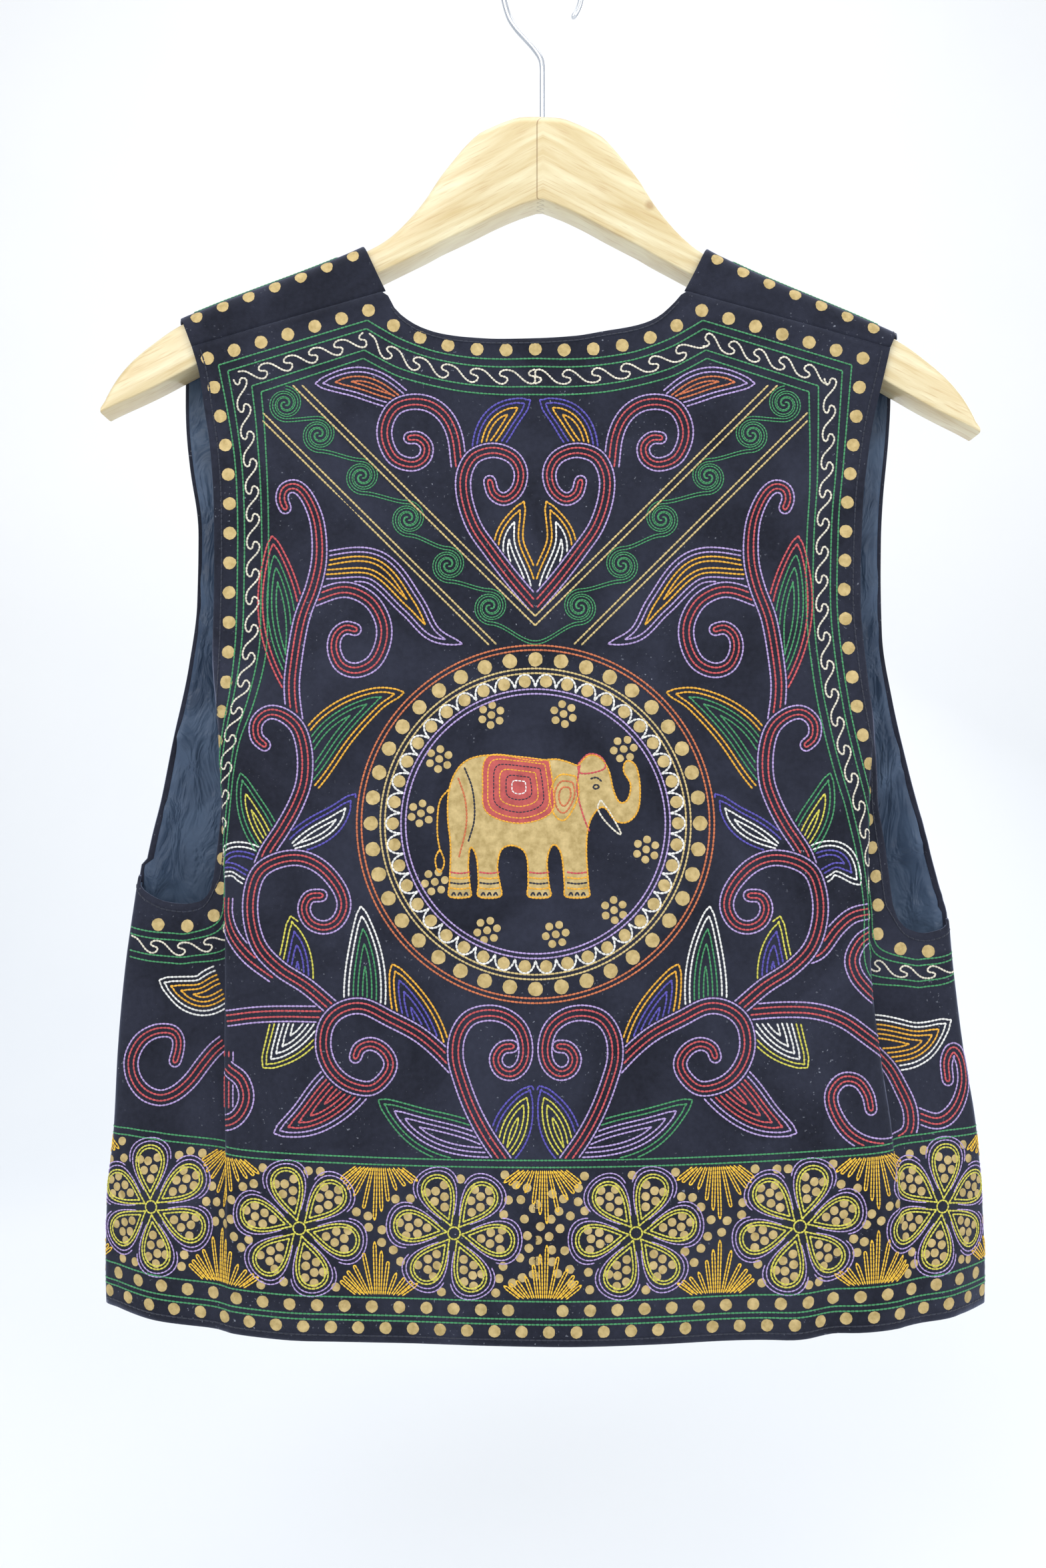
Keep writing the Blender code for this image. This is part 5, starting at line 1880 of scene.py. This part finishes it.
def hanger_arm(side, material):
    """One half of the hanger, smooth along its rounded top."""
    half = BOARD_THICKNESS / 2
    reach = BOARD["out"][-1]
    first = side * (MITRE_X - BOARD_CENTRE_X)
    outs = first + (reach - first) * np.sin(np.linspace(0, math.pi / 2, 120))
    x = BOARD_CENTRE_X + side * outs
    top, under = board_height("top", x), board_height("under", x)
    thin = np.minimum(half, 6 * MM + 2.0 * np.sqrt(np.maximum(reach - outs, 0) * half))
    radius = np.minimum(np.minimum(BOARD_ROUNDING, 0.85 * (top - under)), thin - 0.5 * MM)
    low_radius = np.minimum(0.9 * MM, 0.2 * (top - under))
    angles = np.radians(np.linspace(0, 90, 9))
    low_angles = np.radians(np.linspace(0, 90, 4))
    ring = [
        (-thin + low_radius * (1 - np.sin(a)), under + low_radius * (1 - np.cos(a))) for a in low_angles
    ]
    ring += [(-thin + radius * (1 - np.cos(a)), top - radius * (1 - np.sin(a))) for a in angles]
    ring += [(-y, z) for y, z in ring[::-1]]
    ring.append(ring[0])
    points = np.array([np.stack([x, y, z], axis=1) for y, z in ring])
    piece = swept_piece("wooden_arm_" + SIDE_NAMES[side], points, 0.02 * MM, material, 35)
    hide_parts("hanger_arm_" + SIDE_NAMES[side])


# The wire's kink, in millimetres from its middle
KINK = ((0, -14), (0, -5), (-1.0, 0.4), (-4.6, 5.8), (-9.2, 10.9), (-13.4, 15.6), (-17.0, 21.2))


def hook_path():
    """Points up the stem, across the kink and round the hook to its plain end."""
    centre_z = WIRE_RADIUS - HOOK_RADIUS
    bottom = float(board_height("top", 0.0)) - STEM_DEPTH + GAP
    points = [(0, bottom)] + [(x * MM, KINK_Z + up * MM) for x, up in KINK]
    for degrees in range(194, -41, -13):
        angle = math.radians(degrees)
        points.append((HOOK_RADIUS * math.cos(angle), centre_z + HOOK_RADIUS * math.sin(angle)))
    return np.array(points)


def wire_hook(material):
    """The bent wire, swept from a circle and rounded at its end."""
    line = smooth(hook_path(), 5)
    run = np.gradient(line, axis=0)
    run /= np.linalg.norm(run, axis=1, keepdims=True)
    turn = np.linspace(0, 2 * math.pi, 17)
    thick = np.full(len(line), WIRE_RADIUS)
    thick[-3:] = WIRE_RADIUS * np.array([0.97, 0.82, 0.45])
    side = np.stack([-run[:, 1], run[:, 0]], axis=1)
    points = np.zeros((len(line), len(turn), 3))
    points[..., 0] = line[:, :1] + side[:, :1] * np.cos(turn) * thick[:, None]
    points[..., 2] = line[:, 1:] + side[:, 1:] * np.cos(turn) * thick[:, None]
    points[..., 1] = np.sin(turn) * thick[:, None]
    piece = swept_piece("wire_hook", points, 0.01 * MM, material, 40)
    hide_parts("hanger_hook")


def sheet_area(blocks):
    """Area of the cloth that grids of points cover."""
    total = 0.0
    for points in blocks:
        first = np.cross(points[1:, :-1] - points[:-1, :-1], points[:-1, 1:] - points[:-1, :-1])
        second = np.cross(points[1:, 1:] - points[1:, :-1], points[1:, 1:] - points[:-1, 1:])
        total += 0.5 * sum(np.linalg.norm(half, axis=-1).sum() for half in (first, second))
    return float(total)


FLAT_SIZES = {"back": (0.470, 0.540), "front_left": (0.235, 0.580), "front_right": (0.235, 0.580)}
LINING_PRESS = 1.8


def garment(velvet, satin):
    """The vest's six pieces of cloth, each on its solid's form."""
    grids = {"back": back_blocks}
    for side in SIDES:
        grids["front_" + SIDE_NAMES[side]] = functools.partial(front_blocks, side)
    for part, blocks_of in grids.items():
        outer = blocks_of(0.0, 0.0)
        inner = blocks_of(-LINING_SHIFT, EDGE_ALLOWANCE)
        inner = [wrinkled(block) for block in inner]
        for kind, blocks, wall, material, rests in (
            ("velvet", outer, VELVET_WALL, velvet, ["wooden_arm_left", "wooden_arm_right"]),
            ("lining", inner, LINING_WALL, satin, ["velvet_" + part + "_cloth"]),
        ):
            piece = cloth_piece(f"{kind}_{part}_cloth", blocks, wall, material)
            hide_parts(f"{kind}_{part}")
            "dark_velvet" if kind == "velvet" else "slate_lining"
            cut = 2 * EDGE_ALLOWANCE if kind == "lining" else 0.0
            width, length = FLAT_SIZES[part]
            width - cut
            length - cut
            round(sheet_area(blocks), 4)


def wrinkled(points):
    """Lining pressed inwards by its wrinkles."""
    flat = points.reshape(-1, 3)
    inward = np.zeros(flat.shape)
    inward[:, 1] = -np.sign(flat[:, 1])
    out = np.abs(flat[:, 0] - CENTRE_X)
    place = np.where(flat[:, 1] > 0, 460 * MM - out, out) * np.sign(flat[:, 0] - CENTRE_X)
    below = smooth_step((-222 * MM - flat[:, 2]) / (30 * MM))
    above = smooth_step((flat[:, 2] + 660 * MM) / (60 * MM))
    press = LINING_PRESS * ridges(LINING_WRINKLES, place, flat[:, 2]) * (below * above)
    return (flat + inward * press[:, None]).reshape(points.shape)


# The floor and wall, in metres
FLOOR_WIDTH = 7.0
FLOOR_FRONT = -3.0
FLOOR_BACK = 1.0
FLOOR_Z = -0.9
COVE_RADIUS = 0.8
WALL_HEIGHT = 3.2


def floor_and_wall():
    """A pale floor that curves up into a plain wall, its colour painted darker and bluer towards the
    floor as shade.
    """
    mesh = bmesh.new()
    profile = [(FLOOR_FRONT, 0.0), (FLOOR_BACK, 0.0)]
    for a in np.radians(np.arange(6, 91, 6)):
        profile.append((FLOOR_BACK + COVE_RADIUS * math.sin(a), COVE_RADIUS * (1 - math.cos(a))))
    profile.append((FLOOR_BACK + COVE_RADIUS, WALL_HEIGHT))
    start = [mesh.verts.new((-FLOOR_WIDTH / 2, y, z + FLOOR_Z)) for y, z in profile]
    edges = [mesh.edges.new(pair) for pair in zip(start, start[1:])]
    swept = bmesh.ops.extrude_edge_only(mesh, edges=edges)
    moved = [item for item in swept["geom"] if isinstance(item, bmesh.types.BMVert)]
    bmesh.ops.translate(mesh, verts=moved, vec=(FLOOR_WIDTH, 0, 0))
    bmesh.ops.recalc_face_normals(mesh, faces=mesh.faces)
    data = bpy.data.meshes.new("floor_and_wall")
    mesh.to_mesh(data)
    mesh.free()
    data.shade_smooth()
    made = Finish("pale_paper", roughness=0.9, specular_ior_level=0.1)
    # Painted shade: the colour runs darker and bluer down towards the floor, with a little uneven tone
    # from the noise.
    pale = made.range(made.axis("Z"), -1.0, 0.2) * 0.8 + made.noise(3, detail=2) * 0.2
    made.set("Base Color", made.colours(pale, (0.72, 0.745, 0.775), (0.91, 0.9, 0.885)))
    data.materials.append(made.material)
    item = bpy.data.objects.new("floor_and_wall", data)
    bpy.context.collection.objects.link(item)


# Name, place, goal, size and power of each lamp
LAMPS = (
    ("key", (-0.9, -1.7, 0.6), (-0.0, 0.0, -0.42), 1.6, 20),
    ("fill", (1.2, -1.6, 0.1), (0.0, 0.0, -0.45), 1.6, 11),
    ("top", (0.1, -0.3, 1.3), (0.0, 0.1, -0.2), 1.4, 8),
    ("wall", (0.0, 0.35, 1.2), (0.0, 1.7, -0.4), 1.8, 9),
    ("behind", (0.8, 1.2, 0.5), (0.0, 0.0, -0.4), 1.2, 8),
)


def lights():
    """A pale room and soft round lamps, each aimed at its goal."""
    world = bpy.data.worlds.new("soft_room")
    world.use_nodes = True
    sky = world.node_tree.nodes["Background"].inputs
    sky["Color"].default_value = (0.86, 0.92, 1.0, 1)
    sky["Strength"].default_value = 0.75
    bpy.context.scene.world = world
    for name, place, goal, size, power in LAMPS:
        light = bpy.data.lights.new(name, "AREA")
        light.shape, light.size, light.energy = "DISK", size, power
        light.color = (1.0, 0.985, 0.965)
        lamp = bpy.data.objects.new(name, light)
        bpy.context.collection.objects.link(lamp)
        lamp.location = place
        x, y, z = np.array(goal) - np.array(place)
        lamp.rotation_euler = (math.atan2(math.hypot(x, y), -z), 0.0, math.atan2(y, x) - math.pi / 2)


def photograph():
    """The camera, where the photograph was taken."""
    lens = bpy.data.cameras.new("photograph")
    lens.sensor_width = 36
    lens.lens = FOCAL_PIXELS / PHOTO_SIZE[1] * lens.sensor_width
    lens.clip_start = 0.01
    camera = bpy.data.objects.new("photograph", lens)
    camera.location = CAMERA_PLACE
    camera.rotation_euler = (math.pi / 2, 0, 0)
    bpy.context.collection.objects.link(camera)
    bpy.context.scene.camera = camera
    bpy.context.scene.view_settings.view_transform = "Standard"


def build():
    floor_and_wall()
    lights()
    photograph()
    velvet, satin = velvet_finish(), lining_finish()
    wood, steel = wood_finish(), wire_finish()
    gold = print_finish("gold_print", (0.36, 0.255, 0.085), (0.62, 0.47, 0.215))
    red = print_finish("red_print", (0.34, 0.05, 0.05), (0.55, 0.10, 0.09))
    for side in SIDES:
        hanger_arm(side, wood)
    wire_hook(steel)
    garment(velvet, satin)
    back_border()
    v_bands()
    centre = medallion()
    elephant(centre, gold, red)
    back_garden()
    hem_band()
    for side in SIDES:
        front_border(side)
        front_garden(side)
        shoulder_dots(side)
    top_stitching()
    WORK.finish_stitches()
    WORK.finish_dots(gold)


build()
